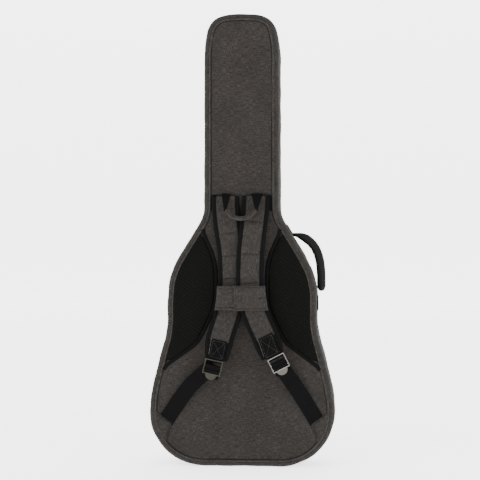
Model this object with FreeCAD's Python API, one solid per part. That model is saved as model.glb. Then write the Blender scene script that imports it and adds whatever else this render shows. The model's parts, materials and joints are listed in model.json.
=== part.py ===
"""Padded gig bag for a flat-top guitar, built from sewn panels, foam, webbing, zips and metal hardware.

Millimetres. +Z runs up the bag from its base to its head, +X to the right when the carrying side (the back
panel with its shoulder straps) is faced, and +Y from the back panel towards the lid. The origin is on the base,
in the plane of symmetry, half way between the back panel and the lid's face at the base.
"""
import FreeCAD, Part
import math
import os

V = FreeCAD.Vector

# ---------------------------------------------------------------- driving sizes of the shell
LENGTH = 1100.0            # base to head
LOWER_HALF = 225.0         # half width of the lower bout
WAIST_HALF = 182.0         # half width of the waist and the upper bout
NECK_HALF = 91.5           # half width of the neck
HEAD_HALF = 78.0           # half width of the head's square corner
BODY_DEPTH = 140.0         # back panel to lid face at the base
HEAD_DEPTH = 100.0         # the same at the head
WIDEST_Z = 170.0           # where the sides start to slope towards the waist
WAIST_Z = 332.0            # where that slope ends
UPPER_Z = 461.0            # where the upper bout turns towards the neck
SHOULDER_Z = 609.5         # where the shoulders meet the neck
HEAD_TAPER_DROP = 85.0     # from the head's top down to where the neck starts to narrow into it
HEAD_CORNER_DROP = 10.0    # from the top down to the head's corners
BASE_R = 130.0             # corner radii of the outline, from the base up
WIDEST_R = 290.0
WAIST_R = 270.0
UPPER_R = 215.0
SHOULDER_R = 90.0
HEAD_TAPER_R = 200.0
HEAD_CORNER_R = 48.0
HEAD_TOP_R = 250.0

# ---------------------------------------------------------------- layers of the wall
SKIN = 1.2                 # outer canvas
FOAM = 14.0                # padding
LINING = 1.2               # inner nylon
WALL = SKIN + FOAM + LINING
EDGE_ROUND = 16.0          # how far the side wall bows out past the panel seams
SHARP = 2.0                # inner layers whose bow would be rounder than this have square edges
SEAM_INSET = 14.0          # panel seams, measured in from the outline
PIPING_WIDE = 4.4
PIPING_HIGH = 3.0

# ---------------------------------------------------------------- main zip
ZIP_BEHIND_FACE = 42.0     # zip's centre plane behind the lid's face
ZIP_HALF = 6.5             # half width of the opening that the two tapes fill
TEETH_IN = 1.2             # the teeth lie from this far from the centre plane
TEETH_OUT = 2.6            # to this far
TEETH_PROUD = 0.4          # how far the teeth stand out of the tape
HINGE_LOW_Z = 85.0         # the stretch of the left side with a cloth hinge in place of teeth
HINGE_HIGH_Z = 205.0
HINGE_GAP = 0.3            # half the gap between the two halves of the cloth hinge
HINGE_OUT = 1.5            # the lid's turning axis outside the widest point

# ---------------------------------------------------------------- sliders and pulls
SLIDER_WIDE = 12.0
SLIDER_LONG = 16.0
WING = 1.4                 # thickness of a slider's wings
RUN = 0.3                  # running clearance of the sliders
BAIL_LONG = 10.0
BAIL_WIDE = 2.0
BAIL_HIGH = 3.4
BAIL_BAR = 1.2
PULL_LONG = 26.0
PULL_WIDE = 8.0
PULL_THICK = 1.2
PULL_NECK = 7.0            # pivot to the solid part of the pull
PULL_EYE_ROOM = 0.6        # room beside the bail in the pull's eye
PULL_OFF = 0.5             # gap between a lying pull and its slider
UPPER_SLIDER_Z = 850.0
LOWER_SLIDER_Z = 802.0

# ---------------------------------------------------------------- carrying side
YOKE_TOP_Z = 657.0         # seam across the foot of the neck, where the straps start
YOKE_LOW_Z = 619.0
YOKE_THICK = 1.0
STRAP_TOP_DROP = 2.0       # yoke's upper seam to the tops of the straps
PAD_THICK = 7.0            # air mesh back pads
PAD_CLEAR = 2.6            # pads stop this far inside the piping
BIND = 8.0                 # width of binding tape
PAD_BIND_THICK = 3.0
STRAP_WIDE = 66.0
STRAP_THICK = 9.0
STRAP_BIND = 11.0
CROSSING = 3.0             # gap between the two straps where the right one lies over the left
STRAP_END_WIDE = 48.0      # the padding narrows to this at the buckle
WEB_WIDE = 38.0            # webbing
WEB_THICK = 1.6
TAB_OFF = 0.2              # gap under the strap's webbing tab
TAB_LONG = 48.0            # webbing tab sewn on each padded strap
WRAP_HIGH = 58.0           # cloth wrap that holds the two straps together
WRAP_Z = 409.5
WRAP_THICK = 2.4
WRAP_ROUND = 5.0
WRAP_EASE = 3.0            # room beside the straps inside the wrap
FLAP_EDGE = -16.0          # free edge of the wrap's flap
FLAP_BELOW = 2.0           # how far the flap stands below the wrap
FLAP_ABOVE = 1.0           # and above it
BUCKLE_WIDE = 44.0
BUCKLE_LONG = 36.0
BUCKLE_WIRE = 3.0
BUCKLE_DROP = 4.5          # strap end to the buckle's top bar
BUCKLE_OUT = 6.0           # strap's middle layer to the buckle's plane
MIDDLE_BAR = 15.0          # top bar to middle bar
LOW_BAR = 27.0             # top bar to the lower bar
TAB_NARROW = 1.0           # the fold round the bar is this much narrower than the webbing on each side
TONGUE_THICK = 3.6
TONGUE_R = 14.0
PATCH_THICK = 5.0          # cloth patches over the lower ends of the straps
PATCH_CORNERS = (          # (x, z) of the triangle that the right patch is cut to, outside the seam at two corners
    (LOWER_HALF + 15.0, 158.0),
    (168.0, 105.0),
    (LOWER_HALF - 10.0, -30.0),
)

# ---------------------------------------------------------------- handles
GRIP_DEEP = 1.25           # the side handle's depth across the side wall, over its height
HANDLE_BEHIND = 46.0       # handle's middle plane in front of the back panel
HANDLE_TAB_START = 0.3     # where the upper tab starts past the shoulder's corner, over the shoulder radius
HANDLE_TAB_LONG = 36.0
HANDLE_TAB_LOW = 376.0
HANDLE_TAB_HIGH = 414.0
HANDLE_TAB_WIDE = 38.0
HANDLE_TAB_THICK = 2.0
GRIP_OVER_TAB = 2.4        # the grip starts this far before the upper tab ends
GRIP_OFF_SHOULDER = 8.0    # ends of the grip out from the side wall
GRIP_OFF_WAIST = 8.5
GRIP_ABOVE_TAB = 10.0      # lower end of the grip above the lower tab
LOOP_R = 4.5               # haul loop's rope-like grip
LOOP_LEFT_X = -36.5
LOOP_RIGHT_X = 38.5
LOOP_END_Z = 630.0
LOOP_LOW_Z = 600.0
LOOP_TAB_LEFT_HALF = 11.0  # half widths of the tabs at the yoke
LOOP_TAB_RIGHT_HALF = 14.0
LOOP_TAB_FOOT_HALF = 6.0   # and at the loop
LOOP_TAB_THICK = 2.0
LOOP_OFF = 27.0            # its ends out from the back panel
LOOP_BELLY = 43.0          # and the middle of its bow

# ---------------------------------------------------------------- lid pocket and the inside
POCKET_DEEP = 15.0
POCKET_TOP_Z = 455.0
POCKET_INSET = 34.0
POCKET_SKIN = 1.2
POCKET_ZIP_HALF = 4.5      # half the slot that the pocket's tapes fill
CRADLE_LOW_Z = 770.0
CRADLE_LONG = 80.0
CRADLE_HIGH = 50.0
NOTCH_HALF = 30.0
NOTCH_DEEP = 34.0
NECK_STRAP_WIDE = 32.0
NECK_STRAP_THICK = 2.0
NECK_STRAP_HALF = 58.0
TAIL_PAD_THICK = 10.0
TAIL_PAD_HALF = 90.0
FIT = 0.4                  # clearance between a soft piece and what it lies on

BACK_Y = -BODY_DEPTH / 2
FACE_Y = BODY_DEPTH / 2
HANDLE_Y = BACK_Y + HANDLE_BEHIND
STRAP_OFF = PAD_THICK + WRAP_THICK + 2 * FIT     # back panel to the straps, which lie over the pads and the wrap
SEWN = YOKE_THICK + FIT - STRAP_OFF              # how far the straps drop from there to the yoke
STRAP_TOP_Z = YOKE_TOP_Z - STRAP_TOP_DROP
HEAD_CORNER_Z = LENGTH - HEAD_CORNER_DROP
HEAD_TAPER_Z = LENGTH - HEAD_TAPER_DROP
SLOPE = (BODY_DEPTH - HEAD_DEPTH) / LENGTH
OUTSIDE = 60.0             # how far cutting blocks reach past the bag


# ---------------------------------------------------------------- geometry helpers
def rounded_wire(corners, inset=0.0, y=0.0):
    """Closed outline in the plane at y, inset along its normals, from (x, z, radius) corners listed
    anticlockwise. Radii shrink at outward corners and grow at inward ones, so that insets stay parallel."""
    count = len(corners)
    lines = []
    for i in range(count):
        x0, z0, _ = corners[i]
        x1, z1, _ = corners[(i + 1) % count]
        run = math.hypot(x1 - x0, z1 - z0)
        dx, dz = (x1 - x0) / run, (z1 - z0) / run
        lines.append((x0 - dz * inset, z0 + dx * inset, dx, dz))
    meets = []
    for i in range(count):
        ax, az, adx, adz = lines[i - 1]
        bx, bz, bdx, bdz = lines[i]
        turn = adx * bdz - adz * bdx
        along = ((bx - ax) * bdz - (bz - az) * bdx) / turn
        radius = corners[i][2] - math.copysign(inset, turn) if corners[i][2] else 0.0
        angle = math.atan2(turn, adx * bdx + adz * bdz)
        reach = max(radius, 0.0) * math.tan(abs(angle) / 2)
        px, pz = ax + along * adx, az + along * adz
        start = V(px - adx * reach, y, pz - adz * reach)
        end = V(px + bdx * reach, y, pz + bdz * reach)
        drop = max(radius, 0.0) * (1 / math.cos(angle / 2) - 1)
        inwards = V(bdx - adx, 0, bdz - adz)
        middle = V(px, y, pz) + (inwards * (drop / inwards.Length) if drop > 0 else V(0, 0, 0))
        meets.append((start, middle, end))
    edges = []
    for i in range(count):
        start, middle, end = meets[i]
        if (end - start).Length > 1e-6:
            edges.append(Part.Arc(start, middle, end).toShape())
        following = meets[(i + 1) % count][0]
        if (following - end).Length > 1e-6:
            edges.append(Part.LineSegment(end, following).toShape())
    return Part.Wire(edges)


def shoulder_turn():
    """Angle that the shoulder's slope makes with the upright sides."""
    return math.atan2(WAIST_HALF - NECK_HALF, SHOULDER_Z - UPPER_Z)


def prism(corners, inset, y0, y1):
    """Solid between two planes across Y whose outline is the rounded one."""
    return Part.Face(rounded_wire(corners, inset, y0)).extrude(V(0, y1 - y0, 0))


def ring(corners, outer, inner, y0, y1):
    return prism(corners, outer, y0, y1).cut(prism(corners, inner, y0 - 1, y1 + 1))


def polygon_prism(points, direction):
    """Solid swept along direction from a closed polygon of points."""
    return Part.Face(Part.makePolygon(points + [points[0]])).extrude(direction)


def block(x0, x1, y0, y1, z0, z1):
    return Part.makeBox(x1 - x0, y1 - y0, z1 - z0, V(x0, y0, z0))


def face_y(z):
    """Y of the lid's face at height z: the bag gets thinner towards its head."""
    return FACE_Y - SLOPE * z


def zip_y(z):
    return face_y(z) - ZIP_BEHIND_FACE


def slab(near, far, z0=-OUTSIDE, z1=LENGTH + OUTSIDE):
    """Everything between two planes parallel to the lid's face, at these distances in front of it."""
    half = LOWER_HALF + OUTSIDE
    points = [V(-half, face_y(z) + d, z) for d, z in ((near, z0), (far, z0), (far, z1), (near, z1))]
    return polygon_prism(points, V(2 * half, 0, 0))


def behind_zip(gap):
    return slab(-3 * BODY_DEPTH, -ZIP_BEHIND_FACE - gap)


def before_zip(gap):
    return slab(-ZIP_BEHIND_FACE + gap, 3 * BODY_DEPTH)


def mirrored(shape):
    return shape.mirror(V(0, 0, 0), V(1, 0, 0))


# ---------------------------------------------------------------- outlines
def bag_corners():
    """The bag's outline: guitar-shaped body, straight neck and domed head."""
    rise = math.atan2(LENGTH - HEAD_CORNER_Z, HEAD_HALF)
    top_z = LENGTH + HEAD_TOP_R * (1 / math.cos(rise) - 1)
    side = [
        (LOWER_HALF, 0.0, BASE_R),
        (LOWER_HALF, WIDEST_Z, WIDEST_R),
        (WAIST_HALF, WAIST_Z, WAIST_R),
        (WAIST_HALF, UPPER_Z, UPPER_R),
        (NECK_HALF, SHOULDER_Z, SHOULDER_R),
        (NECK_HALF, HEAD_TAPER_Z, HEAD_TAPER_R),
        (HEAD_HALF, HEAD_CORNER_Z, HEAD_CORNER_R),
    ]
    return side + [(0.0, top_z, HEAD_TOP_R)] + [(-x, z, r) for x, z, r in reversed(side)]


def pad_corners():
    """Right back pad: its inner edge is the sweep beside the spine, and the bag's seam trims the rest."""
    far = LOWER_HALF + OUTSIDE
    return [
        (far, 187.0, 0.0),
        (far, SHOULDER_Z + 60.0, 0.0),
        (134.0, SHOULDER_Z + 60.0, 0.0),
        (57.5, 497.0, 150.0),
        (57.5, 388.0, 140.0),
        (102.7, 297.5, 60.0),
        (256.0, 187.0, 0.0),
    ]


def form(inset):
    """Outer surface of the closed bag, inset all round: a prism of the outline with bowed edges."""
    corners = bag_corners()
    solid = prism(corners, inset, BACK_Y + inset, FACE_Y + OUTSIDE).common(slab(-3 * BODY_DEPTH, -inset))
    radius = EDGE_ROUND - inset
    if radius < SHARP:
        return solid

    def on_a_panel(edge):
        ends = [v.Point for v in edge.Vertexes]
        back = all(abs(p.y - BACK_Y - inset) < 1e-4 for p in ends)
        face = all(abs(p.y - face_y(p.z) + inset) < 1e-4 for p in ends)
        return back or face

    return solid.makeFillet(radius, [e for e in solid.Edges if on_a_panel(e)])


# ---------------------------------------------------------------- shell and lid
def shell_layers():
    """{node: solid} of the skins, foams and linings on both sides of the zip."""
    corners = bag_corners()
    skin = form(0).cut(form(SKIN))
    foam = form(SKIN).cut(form(SKIN + FOAM))
    lining = form(SKIN + FOAM).cut(form(WALL))
    inside_seam = prism(corners, SEAM_INSET, -2 * BODY_DEPTH, 2 * BODY_DEPTH)
    inside_lining = prism(corners, WALL, -2 * BODY_DEPTH, 2 * BODY_DEPTH)
    inside_foam = prism(corners, SKIN + FOAM, -2 * BODY_DEPTH, 2 * BODY_DEPTH)
    back, front = behind_zip(ZIP_HALF), before_zip(ZIP_HALF)
    made = {
        "back_panel": skin.common(inside_seam).common(back),
        "back_gusset": skin.cut(inside_seam).common(back),
        "back_panel_foam": foam.common(inside_foam).common(back),
        "back_gusset_foam": foam.cut(inside_foam).common(back),
        "back_lining": lining.common(inside_lining).common(back),
        "back_gusset_lining": lining.cut(inside_lining).common(back),
        "lid_panel": skin.common(inside_seam).common(front),
        "lid_gusset": skin.cut(inside_seam).common(front),
        "lid_panel_foam": foam.common(inside_foam).common(front),
        "lid_gusset_foam": foam.cut(inside_foam).common(front),
        "lid_lining": lining.common(inside_lining).common(front),
        "lid_gusset_lining": lining.cut(inside_lining).common(front),
    }
    return made


def base_strips(made):
    """Cuts the strip that the bag stands on out of each gusset: it is sewn in as a piece of its own."""
    low = block(-LOWER_HALF, LOWER_HALF, -BODY_DEPTH, BODY_DEPTH, -1.0, WALL)
    for side in ("back", "lid"):
        whole = made[side + "_gusset"]
        made[side + "_base_strip"] = whole.common(low)
        made[side + "_gusset"] = whole.cut(low)


def piping():
    corners = bag_corners()
    outer, inner = SEAM_INSET - PIPING_WIDE / 2, SEAM_INSET + PIPING_WIDE / 2
    long_ring = ring(corners, outer, inner, BACK_Y - PIPING_HIGH, FACE_Y + PIPING_HIGH)
    return {
        "back_piping": ring(corners, outer, inner, BACK_Y - PIPING_HIGH, BACK_Y),
        "lid_piping": long_ring.common(slab(0, PIPING_HIGH)),
    }


def main_zip():
    """Tapes, teeth and the cloth hinge that replaces them on the left side of the lower bout."""
    corners = bag_corners()
    tape = ring(corners, 0.0, SKIN, -BODY_DEPTH, BODY_DEPTH)
    teeth = ring(corners, -TEETH_PROUD, SKIN, -BODY_DEPTH, BODY_DEPTH)
    hinge = block(-LOWER_HALF - OUTSIDE, 0, -BODY_DEPTH, BODY_DEPTH, HINGE_LOW_Z, HINGE_HIGH_Z)

    def strip(of, near, far):
        return of.common(slab(-ZIP_BEHIND_FACE + near, -ZIP_BEHIND_FACE + far))

    return {
        "zip_tape_back": strip(tape, -ZIP_HALF, -TEETH_OUT).cut(hinge),
        "zip_teeth_back": strip(teeth, -TEETH_OUT, -TEETH_IN).cut(hinge),
        "zip_teeth_lid": strip(teeth, TEETH_IN, TEETH_OUT).cut(hinge),
        "zip_tape_lid": strip(tape, TEETH_OUT, ZIP_HALF).cut(hinge),
        "hinge_cloth_back": strip(tape, -ZIP_HALF, -HINGE_GAP).common(hinge),
        "hinge_cloth_lid": strip(tape, HINGE_GAP, ZIP_HALF).common(hinge),
    }


# ---------------------------------------------------------------- sliders and pulls
def slider(teeth_top, tape_under):
    """Zip slider about its own centre: the track runs along Z, the outside is +X, and X is 0 on the
    surface that the tape lies level with. The nose post runs between the two rows of teeth."""
    top = teeth_top + RUN
    under = -tape_under - RUN
    half_wide, half_long = SLIDER_WIDE / 2, SLIDER_LONG / 2
    outer = block(top, top + WING, -half_wide, half_wide, -half_long, half_long)
    inner = block(under - WING, under, -half_wide, half_wide, -half_long, half_long)
    post = block(under, top, RUN - TEETH_IN, TEETH_IN - RUN, -half_long, half_long)
    foot = top + WING
    arch = block(foot, foot + BAIL_HIGH, -BAIL_WIDE / 2, BAIL_WIDE / 2, -BAIL_LONG / 2, BAIL_LONG / 2)
    inside = BAIL_LONG / 2 - BAIL_BAR
    hole = block(foot, foot + BAIL_HIGH - BAIL_BAR, -BAIL_WIDE, BAIL_WIDE, -inside, inside)
    return outer.fuse([inner, post, arch.cut(hole)]).removeSplitter()


def pull(foot):
    """Pull tab hanging along -Z from its pivot, which lies inside the slider's bail."""
    half = PULL_WIDE / 2
    eye = BAIL_WIDE / 2 + PULL_EYE_ROOM
    x0 = foot + PULL_OFF
    x1 = x0 + PULL_THICK
    bar = block(x0, x1, -half, half, -PULL_THICK / 2, PULL_THICK / 2)
    arms = [block(x0, x1, a, b, -PULL_NECK, 0) for a, b in ((eye, half), (-half, -eye))]
    tab = block(x0, x1, -half, half, -PULL_LONG, -PULL_NECK)
    return bar.fuse(arms + [tab]).removeSplitter()


def main_sliders():
    """Two sliders on the straight run of the main zip on the left of the neck, each with its pull."""
    tilt = math.degrees(math.atan(SLOPE))
    foot = TEETH_PROUD + RUN + WING
    made = {}
    for name, z in (("upper", UPPER_SLIDER_Z), ("lower", LOWER_SLIDER_Z)):
        for kind, shape in (("zip_slider_", slider(TEETH_PROUD, SKIN)), ("zip_pull_", pull(foot))):
            shape = mirrored(shape)
            shape.rotate(V(0, 0, 0), V(1, 0, 0), tilt)
            shape.translate(V(-NECK_HALF, zip_y(z), z))
            made[kind + name] = shape
    return made


# ---------------------------------------------------------------- bands: straps and webbing
def stations(path):
    """Centre, width direction and outward normal at each point of a band's path."""
    found = []
    last = len(path) - 1
    for i, p in enumerate(path):
        along = V(*path[min(i + 1, last)]) - V(*path[max(i - 1, 0)])
        along.normalize()
        wide = along.cross(V(0, 1, 0))
        wide.normalize()
        out = wide.cross(along)
        if out.y > 0:
            out = -out
        if wide.x < 0:
            wide = -wide
        found.append((V(*p), wide, out))
    return found


def band(path, u0, u1, n0, n1, tip0=None, tip1=None):
    """Flat band along a path of (x, y, z), from u0 to u1 across its width and n0 to n1 off its path.
    tip0 and tip1 replace u0 and u1 at the last point of the path."""
    wires = []
    found = stations(path)
    for i, (centre, wide, out) in enumerate(found):
        a, b = u0, u1
        if i == len(found) - 1 and tip0 is not None:
            a, b = tip0, tip1
        corners = [centre + wide * u + out * n for u, n in ((a, n0), (b, n0), (b, n1), (a, n1))]
        wires.append(Part.makePolygon(corners + [corners[0]]))
    return Part.makeLoft(wires, True, True)


def strap_path(side, points):
    """Path of a strap's middle layer, on the side of sign side. Each point gives x of the strap's inner edge,
    the share of the crossing that it has climbed, its lift off what it lies on, and z."""
    lying = BACK_Y - STRAP_OFF - STRAP_THICK / 2
    climb = STRAP_THICK + CROSSING
    return [(x + side * STRAP_WIDE / 2, lying - over * climb - lift, z) for x, over, lift, z in points]


LEFT_STRAP = strap_path(-1, [
    (-5.0, 0.0, SEWN, STRAP_TOP_Z), (-5.0, 0.0, SEWN, 642.0), (-4.3, 0.0, SEWN / 2, 616.0), (0.5, 0.0, 0.0, 580.0),
    (10.0, 0.0, 0.0, 520.0), (12.0, 0.0, 0.0, 450.0), (8.0, 0.0, 1.0, 395.0), (-2.0, 0.0, 4.5, 360.0),
    (-14.0, 0.0, 11.0, 324.0), (-22.0, 0.0, 17.0, 292.0), (-28.5, 0.0, 21.5, 264.0),
])
RIGHT_STRAP = strap_path(1, [
    (2.5, 0.0, SEWN, STRAP_TOP_Z), (2.5, 0.0, SEWN, 642.0), (1.5, 0.5, SEWN / 2, 616.0), (-2.5, 1.0, 0.0, 580.0),
    (-9.5, 1.0, 0.0, 520.0), (-11.5, 1.0, 0.0, 450.0), (-6.0, 1.0, 0.0, 398.0), (5.5, 1.0, 1.5, 364.0),
    (20.0, 1.0, 5.5, 333.0), (35.0, 1.0, 10.0, 303.0), (50.0, 1.0, 14.5, 274.0),
])


def end_frame(path):
    """Lowest point of a strap and the directions across, down and out of it there."""
    tip, above = V(*path[-1]), V(*path[-2])
    down = tip - above
    down.normalize()
    across = stations(path)[-1][1]
    out = stations(path)[-1][2]
    return tip, across, down, out


def strap_parts(name, path):
    """Padded strap, its two bound edges and the webbing tab that carries the buckle."""
    half, tip_half = STRAP_WIDE / 2, STRAP_END_WIDE / 2
    inner, tip_inner = half - STRAP_BIND, tip_half - STRAP_BIND
    thick = STRAP_THICK / 2
    third, second, tip = (V(*p) for p in path[-3:])
    up = third - second
    up.normalize()
    top = second + up * (TAB_LONG - (second - tip).Length)
    edges = [
        band(path, -half, -inner, -thick, thick, -tip_half, -tip_inner),
        band(path, inner, half, -thick, thick, tip_inner, tip_half),
    ]
    lift = thick + TAB_OFF
    tab = band([tuple(top), path[-2], path[-1]], -WEB_WIDE / 2, WEB_WIDE / 2, lift, lift + WEB_THICK)
    fold = placed(tab_loop(), *buckle_frame(path))
    return {
        name + "_shoulder_strap": band(path, -inner, inner, -thick, thick, -tip_inner, tip_inner),
        name + "_strap_binding": Part.makeCompound(edges),
        name + "_webbing_tab": Part.makeCompound([tab, fold.cut(tab)]),
    }


def placed(shape, origin, across, down, out):
    """Moves a shape drawn with X across, Y out and Z down a strap to where the strap ends."""
    m = FreeCAD.Matrix(
        across.x, out.x, down.x, origin.x,
        across.y, out.y, down.y, origin.y,
        across.z, out.z, down.z, origin.z,
        0, 0, 0, 1)
    shape = shape.copy()
    shape.transformShape(m)
    return shape


def rod(x0, x1, y, z, radius):
    return Part.makeCylinder(radius, x1 - x0, V(x0, y, z), V(1, 0, 0))


def ladder_lock():
    """Metal three-bar slide with a thumb tongue, drawn with X across, Y out, Z down from its top bar."""
    half, r = BUCKLE_WIDE / 2, BUCKLE_WIRE / 2
    bars = [rod(-half + r, half - r, 0, z, r) for z in (0.0, MIDDLE_BAR, LOW_BAR)]
    rails = [Part.makeCylinder(r, BUCKLE_LONG - BUCKLE_WIRE, V(s * (half - r), 0, 0), V(0, 0, 1)) for s in (-1, 1)]
    joints = [Part.makeSphere(r, V(s * (half - r), 0, z)) for s in (-1, 1) for z in (0.0, BUCKLE_LONG - BUCKLE_WIRE)]
    low = rod(-half + r, half - r, 0, BUCKLE_LONG - BUCKLE_WIRE, r)
    end = BUCKLE_LONG - BUCKLE_WIRE
    thin = TONGUE_THICK / 2
    disc = Part.makeCylinder(TONGUE_R, thin, V(0, -thin / 2, end), V(0, 1, 0))
    tongue = disc.common(block(-half, half, -thin, thin, end, end + TONGUE_R))
    return bars[0].fuse(bars[1:] + rails + joints + [low, tongue]).removeSplitter()


def ribbon(points, thick, half_wide):
    """Webbing bent along a polyline of (out, down) points and as wide as the buckle takes."""
    sides = ([], [])
    last = len(points) - 1
    for i, (y, z) in enumerate(points):
        ay, az = points[max(i - 1, 0)]
        by, bz = points[min(i + 1, last)]
        run = math.hypot(by - ay, bz - az)
        ny, nz = -(bz - az) / run, (by - ay) / run
        for side, s in zip(sides, (1, -1)):
            side.append(V(-half_wide, y + s * ny * thick / 2, z + s * nz * thick / 2))
    return polygon_prism(sides[0] + sides[1][::-1], V(2 * half_wide, 0, 0))


def threaded_webbing():
    """The turn of webbing in the buckle: up behind the lower bar, over the middle bar and back down."""
    r = BUCKLE_WIRE / 2 + FIT + WEB_THICK / 2
    return ribbon([
        (-r - 0.6, LOW_BAR + 12.0), (-r - 0.3, LOW_BAR + 4.0), (-r, LOW_BAR - 1.0), (-1.0, LOW_BAR - 5.0),
        (r, MIDDLE_BAR + 3.0), (r + 0.3, MIDDLE_BAR), (r, MIDDLE_BAR - 3.0), (-1.0, MIDDLE_BAR - 6.0),
        (-r - 2.2, MIDDLE_BAR - 4.6), (-r - 3.2, MIDDLE_BAR + 2.0), (-r - 3.6, LOW_BAR), (-r - 4.4, LOW_BAR + 16.0),
    ], WEB_THICK, WEB_WIDE / 2 - TAB_NARROW)


def tab_loop():
    """End of the strap's webbing tab, folded round the buckle's top bar."""
    r = BUCKLE_WIRE / 2 + FIT
    half = WEB_WIDE / 2
    outer = Part.makeCylinder(r + WEB_THICK, 2 * (half - TAB_NARROW), V(TAB_NARROW - half, 0, 0), V(1, 0, 0))
    inner = Part.makeCylinder(r, WEB_WIDE, V(-half, 0, 0), V(1, 0, 0))
    return outer.cut(inner)


def buckle_frame(path):
    """Centre of the buckle's top bar and the directions across, down and out of its strap."""
    tip, across, down, out = end_frame(path)
    return tip + down * BUCKLE_DROP + out * BUCKLE_OUT, across, down, out


def buckle_parts(name, path):
    return {
        name + "_buckle": placed(ladder_lock(), *buckle_frame(path)),
        name + "_buckle_webbing": placed(threaded_webbing(), *buckle_frame(path)),
    }


def webbing_path(points):
    """Path of a lower webbing's inner face from (x, distance off the back panel, z) points."""
    return [(x, BACK_Y - off, z) for x, off, z in points]


LEFT_WEBBING = webbing_path([
    (-192.0, 0.5, 98.0), (-181.0, 0.8, 114.0), (-165.0, 3.5, 139.0), (-144.0, 7.5, 170.0), (-122.0, 12.0, 198.0),
    (-103.0, 15.0, 216.0), (-89.0, 16.5, 228.0),
])
RIGHT_WEBBING = webbing_path([
    (192.0, 0.5, 98.0), (181.0, 0.8, 114.0), (167.0, 3.5, 138.0), (150.0, 8.0, 166.0), (134.0, 14.0, 192.0),
    (120.0, 18.5, 212.0), (111.0, 20.5, 226.0),
])


def corner_patches():
    """Cloth patches that cover the sewn-down lower ends of the strap webbing."""
    clear = SEAM_INSET + PIPING_WIDE / 2 + FIT
    panel = prism(bag_corners(), clear, BACK_Y - PATCH_THICK, BACK_Y)
    triangle = polygon_prism([V(x, -2 * BODY_DEPTH, z) for x, z in PATCH_CORNERS], V(0, 4 * BODY_DEPTH, 0))
    whole = panel.common(triangle)
    webbing = lower_webbing()
    return {
        "corner_patch_" + name: put(whole).cut(webbing[name + "_lower_webbing"])
        for name, put in (("right", lambda s: s), ("left", mirrored))
    }


def lower_webbing():
    """Webbing from the corner patches up to the buckles. Its ends stay inside the panel seams."""
    inside = prism(bag_corners(), SEAM_INSET + PIPING_WIDE / 2 + FIT, -2 * BODY_DEPTH, BACK_Y)
    half = WEB_WIDE / 2
    return {
        "left_lower_webbing": band(LEFT_WEBBING, -half, half, 0, WEB_THICK).common(inside),
        "right_lower_webbing": band(RIGHT_WEBBING, -half, half, 0, WEB_THICK).common(inside),
    }


def back_pads():
    """Air mesh pads and the tape that binds their inner edges."""
    made = {}
    trim = prism(bag_corners(), SEAM_INSET + PAD_CLEAR, BACK_Y - PAD_THICK, BACK_Y)
    pad = prism(pad_corners(), BIND, BACK_Y - PAD_THICK, BACK_Y).common(trim)
    tape = prism(pad_corners(), 0.0, BACK_Y - PAD_BIND_THICK, BACK_Y).cut(
        prism(pad_corners(), BIND, BACK_Y - PAD_THICK, BACK_Y)).common(trim)
    for name, put in (("right", lambda s: s), ("left", mirrored)):
        made[name + "_back_pad"] = put(pad)
        made[name + "_pad_binding"] = put(tape)
    return made


def yoke():
    """Plain black panel behind the tops of the straps."""
    half = NECK_HALF + OUTSIDE
    trim = prism(bag_corners(), SEAM_INSET + PIPING_WIDE / 2 + FIT, BACK_Y - YOKE_THICK, BACK_Y)
    return {"strap_yoke": trim.common(block(-half, half, -BODY_DEPTH, 0, YOKE_LOW_Z, YOKE_TOP_Z))}


# ---------------------------------------------------------------- wrap round the two straps
def point_at(path, z):
    """X and Y of a strap's middle where it passes height z."""
    for (x0, y0, z0), (x1, y1, z1) in zip(path, path[1:]):
        if z1 <= z <= z0:
            share = (z0 - z) / (z0 - z1)
            return x0 + (x1 - x0) * share, y0 + (y1 - y0) * share
    return path[-1][0], path[-1][1]


def wrap():
    """Flat cloth sleeve round both straps, and the hook-and-loop flap that closes it."""
    low, high = WRAP_Z - WRAP_HIGH / 2, WRAP_Z + WRAP_HIGH / 2
    side = STRAP_WIDE / 2 + WRAP_THICK + WRAP_EASE
    left = min(point_at(LEFT_STRAP, z)[0] for z in (low, high)) - side
    right = max(point_at(RIGHT_STRAP, z)[0] for z in (low, high)) + side
    near = BACK_Y - PAD_THICK - FIT
    far = min(point_at(RIGHT_STRAP, z)[1] for z in (low, high)) - STRAP_THICK / 2 - WRAP_THICK - 5 * FIT

    def tube(inset, z0, z1):
        plate = block(left + inset, right - inset, far + inset, near - inset, z0, z1)
        upright = [e for e in plate.Edges if abs(e.Vertexes[0].Z - e.Vertexes[1].Z) > 1]
        return plate.makeFillet(WRAP_ROUND - inset, upright)

    sleeve = tube(0, low, high).cut(tube(WRAP_THICK, low - 1, high + 1))
    top = far - FIT
    return {
        "strap_wrap": sleeve,
        "wrap_flap": block(FLAP_EDGE, right + FIT, top - WRAP_THICK, top, low - FLAP_BELOW, high + FLAP_ABOVE),
    }


# ---------------------------------------------------------------- handles
GRIP = (                   # (share of the way from end to end, height over that line, radius) along the grip
    (0.0, 0.0, 5.0), (0.053, 10.8, 8.0), (0.155, 23.7, 10.0), (0.316, 31.6, 10.5), (0.515, 30.0, 10.5),
    (0.719, 20.3, 10.5), (0.878, 10.3, 10.0), (1.0, 0.0, 8.0),
)


def shoulder_line():
    """Neck's corner, the direction down the shoulder's straight side, and the direction out of it."""
    top, low = V(NECK_HALF, 0, SHOULDER_Z), V(WAIST_HALF, 0, UPPER_Z)
    along = low - top
    along.normalize()
    return top, along, V(-along.z, 0, along.x)


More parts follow.
